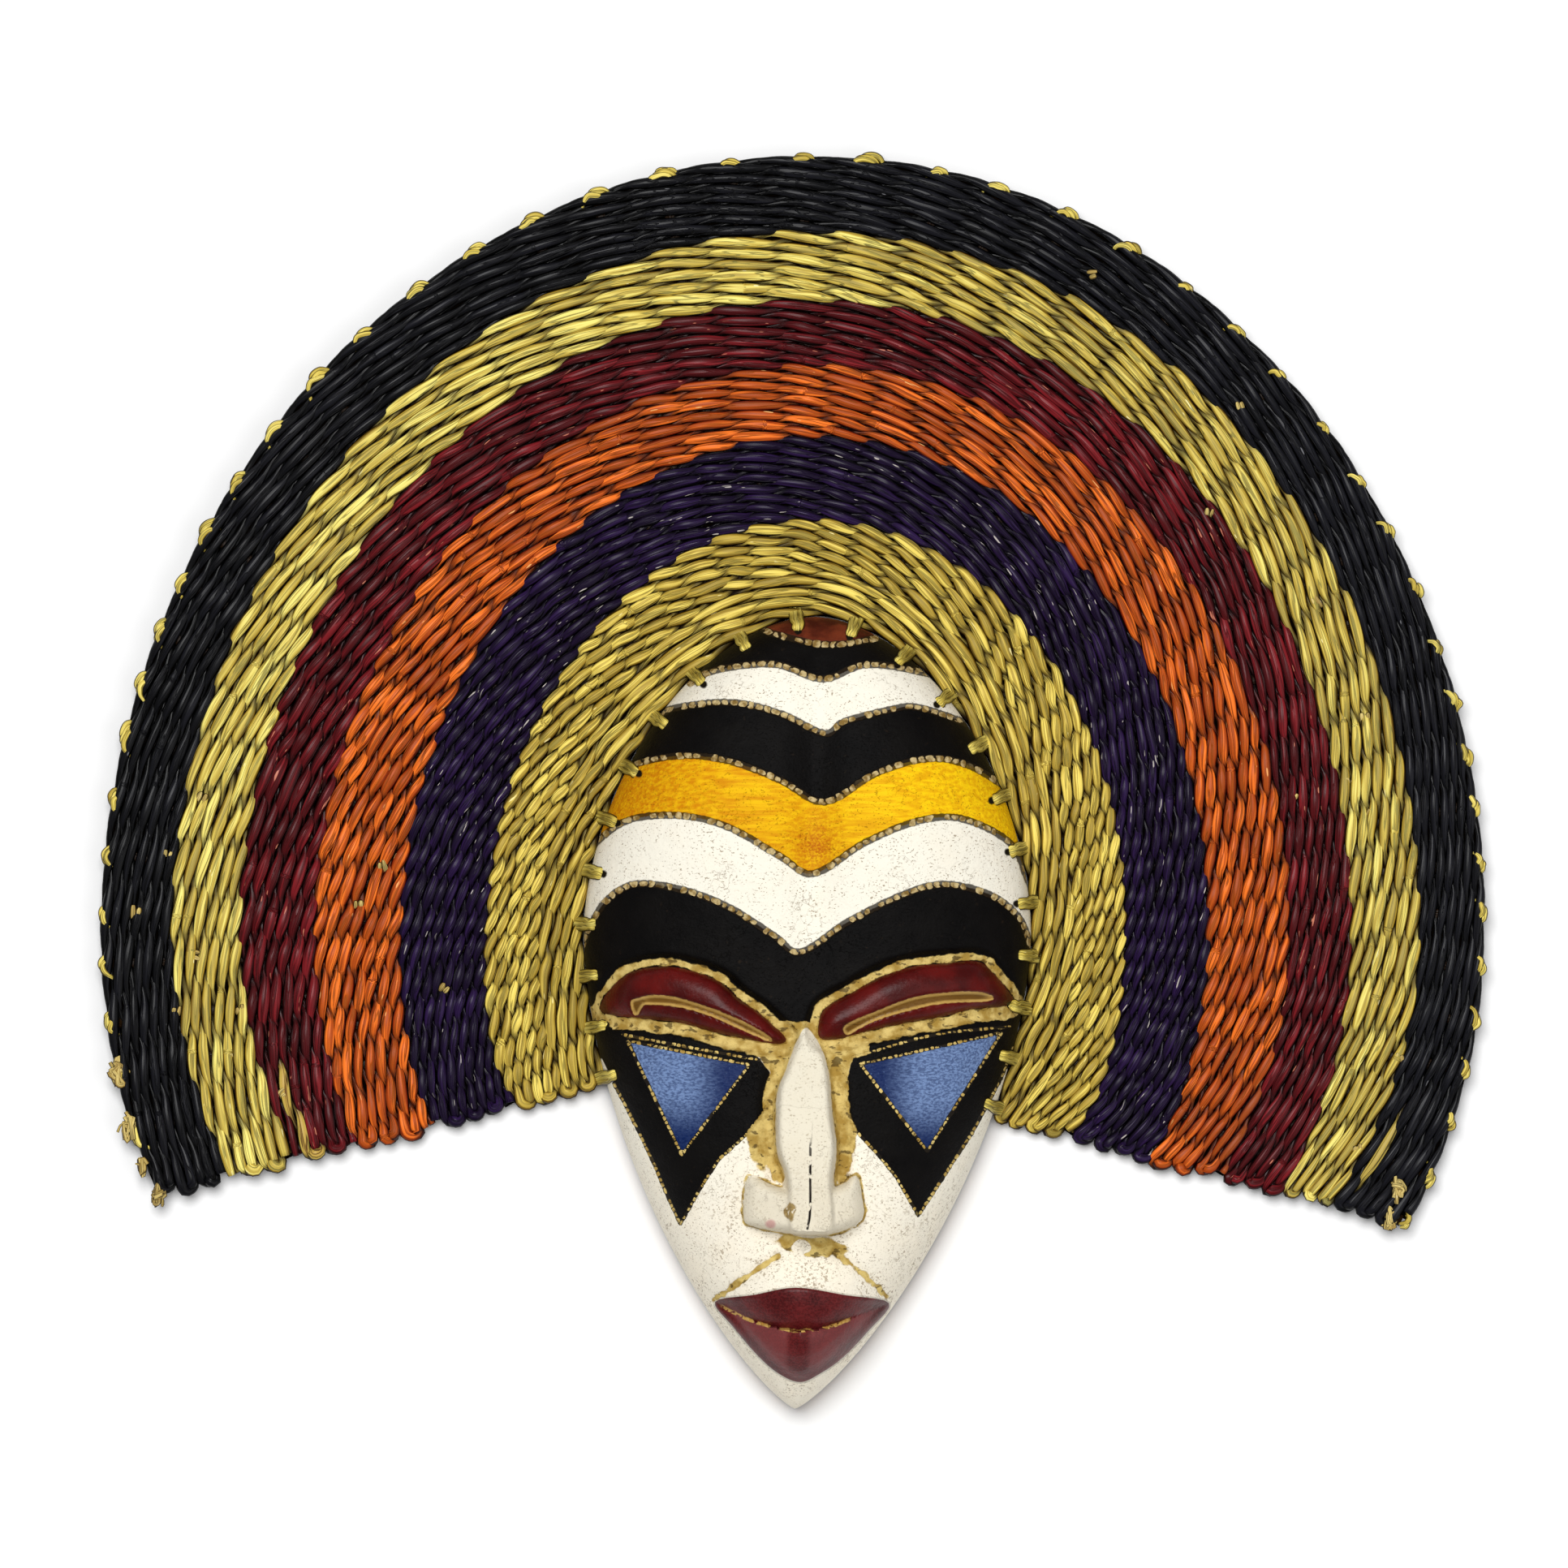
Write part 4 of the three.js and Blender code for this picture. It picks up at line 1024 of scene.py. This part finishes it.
# Each place on a stake's bend: how far along the edge, how far out and how high.
BEND_ROUTE = [(-4.4, -2.4, -0.6), (-3.1, 0.0, 0.7), (-1.2, 1.1, 1.2), (0.9, 1.2, 1.2), (2.8, 0.3, 0.8),
              (4.2, -2.0, -0.6)]
strands = []
loops = []
for angle in stake_angles[: past_hem + 1]:
    rows = np.linspace(0.3, ROWS - 0.6, 24)
    reach = np.array([row_reach(row, np.array([angle]))[0] for row in rows]) / 1000
    height = np.array([sheet_height(row, angle) for row in rows])
    line = np.stack([EYE[0] + reach * math.cos(angle), EYE[1] + reach * math.sin(angle), height], 1)
    same = np.ones(len(line))
    # each stake's level is set 3 mm above it, so the finish paints it wholly in the gap colour: painted
    # shade under the weave
    strands.append(
        [line, 0.002 * same, 0.0004 * same, height + 0.003, 0.003 * same, 0.2 * same, 0 * same, 0.0]
    )
    # the bend: three strands lie side by side, leave the weave, run along its edge and go back in
    out = np.array([math.cos(angle), math.sin(angle)])
    side = np.array([out[1], -out[0]])
    edge_reach = row_reach(ROWS, np.array([angle]))[0]
    level = sheet_height(ROWS, angle) * 1000
    size = draw.uniform(0.65, 1.1) * (1 if math.cos(angle) < 0.3 else 0.75)
    skew = draw.normal(0, 0.12)
    for k in (-1, 0, 1)[: draw.integers(2, 4)]:
        places = []
        for along, proud, lift in BEND_ROUTE:
            proud = edge_reach - 0.5 + proud * size * (1 + skew * along / 4) + k * 0.62
            at = out * proud + side * (along * size + k)
            at = at + draw.normal(0, 0.18, 2)
            places.append(from_eye(*at, level + lift - 0.5 * k))
        loops.append(strand(places, 0.0007 + 0.0002 * size, draw, True))
stakes = tubes_mesh("raffia_stakes", strands, 6)
lay(stakes, natural, "natural_raffia", "black_band")
edge_loops = tubes_mesh("stake_bends", loops, 6)
lay(edge_loops, natural, "natural_raffia", "black_band")

# Where a strand ran out, the weaver left its cut end and the new one's standing side by side. Near
# the fan's two lower corners the undyed ends are knotted off, frayed and loose. All of them are
# given by their places in millimetres from the eye.
def on_fan(x, y, lift):
    """A place on the weave's surface, lifted by millimetres."""
    angle = math.atan2(y, x) % (2 * math.pi)
    if angle > math.radians(250):
        angle -= 2 * math.pi
    out = min(math.hypot(x, y) / (215 if y < 20 else 225), 1)
    height = sheet_height(ROWS * max(out * 1.7 - 0.7, 0), angle) * 1000
    return from_eye(x, y, height + lift)


draw = np.random.default_rng(53)
ends = []
for x, y, turn in [
    (-195.8, 23.5, 80), (-185.3, 41.5, 60), (-187.5, -6.5, 20), (-205.5, 6.5, 90), (-193, -24, 75),
    (-177, -37.8, 70), (-173.3, -23.8, 85), (-160.8, -49.5, 60), (-129.5, 20.5, 100), (-137, 8.8, 110),
    (-110.6, -16.9, 80), (89, 203, 30), (134.5, 162, 120), (125, 129.5, 95), (157.8, 102, 100),
    (172.8, 66.3, 80), (168.3, 45.8, 90), (174.5, 36, 70), (169, 16.3, 95), (150.3, 42, 60),
    (183.5, -38.8, 80), (170.5, -66.3, 75),
]:
    turn = math.radians(turn) + draw.normal(0, 0.2)
    ahead_x, ahead_y = math.cos(turn), math.sin(turn)
    for k in (-1, 1):
        length = draw.uniform(0.9, 2.2)
        aside = k * draw.uniform(0.6, 0.95)
        spread = k * draw.uniform(-0.3, 0.3)
        places = []
        for part, lift in [(-1, 0.4), (0, 1.5), (1, 2.3)]:
            out = aside + part * spread
            along = part * length
            places.append(
                on_fan(x - ahead_y * out + ahead_x * along, y + ahead_x * out + ahead_y * along, lift)
            )
        ends.append(strand(places, draw.uniform(0.0007, 0.00095), draw, True))
cut_ends = tubes_mesh("cut_ends", ends, 6)
lay(cut_ends, frayed, "natural_raffia", "black_band")

knots = []
for x, y, size, number in [(-211.5, -43.5, 3.0, 5), (-207.5, -59.3, 2.6, 4), (-198.5, -80.3, 2.2, 5),
                           (-203.3, -71.8, 1.6, 2), (183, -78.8, 2.4, 3), (180.5, -88, 2.0, 3)]:
    for _ in range(number):
        # a strand wound about itself
        start = draw.uniform(0, 6.3)
        places = []
        for k in range(7):
            turn = start + k * 2.4 + draw.normal(0, 0.5)
            reach = size * draw.uniform(0.3, 1.3)
            places.append(on_fan(x + 0.75 * reach * math.cos(turn), y + 1.5 * reach * math.sin(turn),
                                 1.3 + draw.uniform(-0.8, 1.2)))
        knots.append(strand(places, draw.uniform(0.0004, 0.0009), draw))
    for _ in range(number // 2):
        # and its loose wisps
        turn = draw.uniform(0, 6.3)
        places = []
        for k in range(4):
            places.append(on_fan(x + k * 0.5 * size * math.cos(turn), y + k * 0.6 * size * math.sin(turn),
                                 1.4 + draw.uniform(-0.6, 0.6)))
            turn += draw.normal(0, 0.6)
        knots.append(strand(places, draw.uniform(0.00015, 0.0005), draw))
knotted_ends = tubes_mesh("knotted_ends", knots, 6)
lay(knotted_ends, frayed, "natural_raffia", "black_band")

# The studio: a white floor under the part, a broad soft light overhead, a weaker one from the
# right, and the camera straight above.
bpy.ops.mesh.primitive_plane_add(size=6, location=(0, 0, -0.0005))
floor = bpy.context.object
floor.name = "floor"
floor_finish, _, floor_surface = new_finish("white floor", Roughness=0.9)
floor_surface.inputs["Base Color"].default_value = (1, 1, 1, 1)
floor.data.materials.append(floor_finish)

world = bpy.data.worlds.new("studio")
world.use_nodes = True
world.node_tree.nodes["Background"].inputs["Color"].default_value = (1, 1, 1, 1)
world.node_tree.nodes["Background"].inputs["Strength"].default_value = 0.25
bpy.context.scene.world = world
for name, place, strength, softness in [
    ("key", (-0.15, 0.42, 1.5), 2.42, 32),
    ("fill", (0.9, -0.3, 1.2), 0.45, 45),
]:
    light = bpy.data.lights.new(name, "SUN")
    light.energy = strength
    light.angle = math.radians(softness)
    lamp = new_object(name, light)
    lamp.location = place
    lamp.rotation_euler = (-lamp.location).to_track_quat("-Z", "Y").to_euler()

view = bpy.data.cameras.new("camera")
view.sensor_width = 36
CAMERA_HEIGHT = 9.0
PICTURE_WIDTH = 0.483
view.lens = view.sensor_width * CAMERA_HEIGHT / PICTURE_WIDTH
camera = new_object("camera", view)
camera.location = (-0.0024, -0.0002, CAMERA_HEIGHT)
bpy.context.scene.camera = camera
bpy.context.scene.view_settings.view_transform = "Standard"
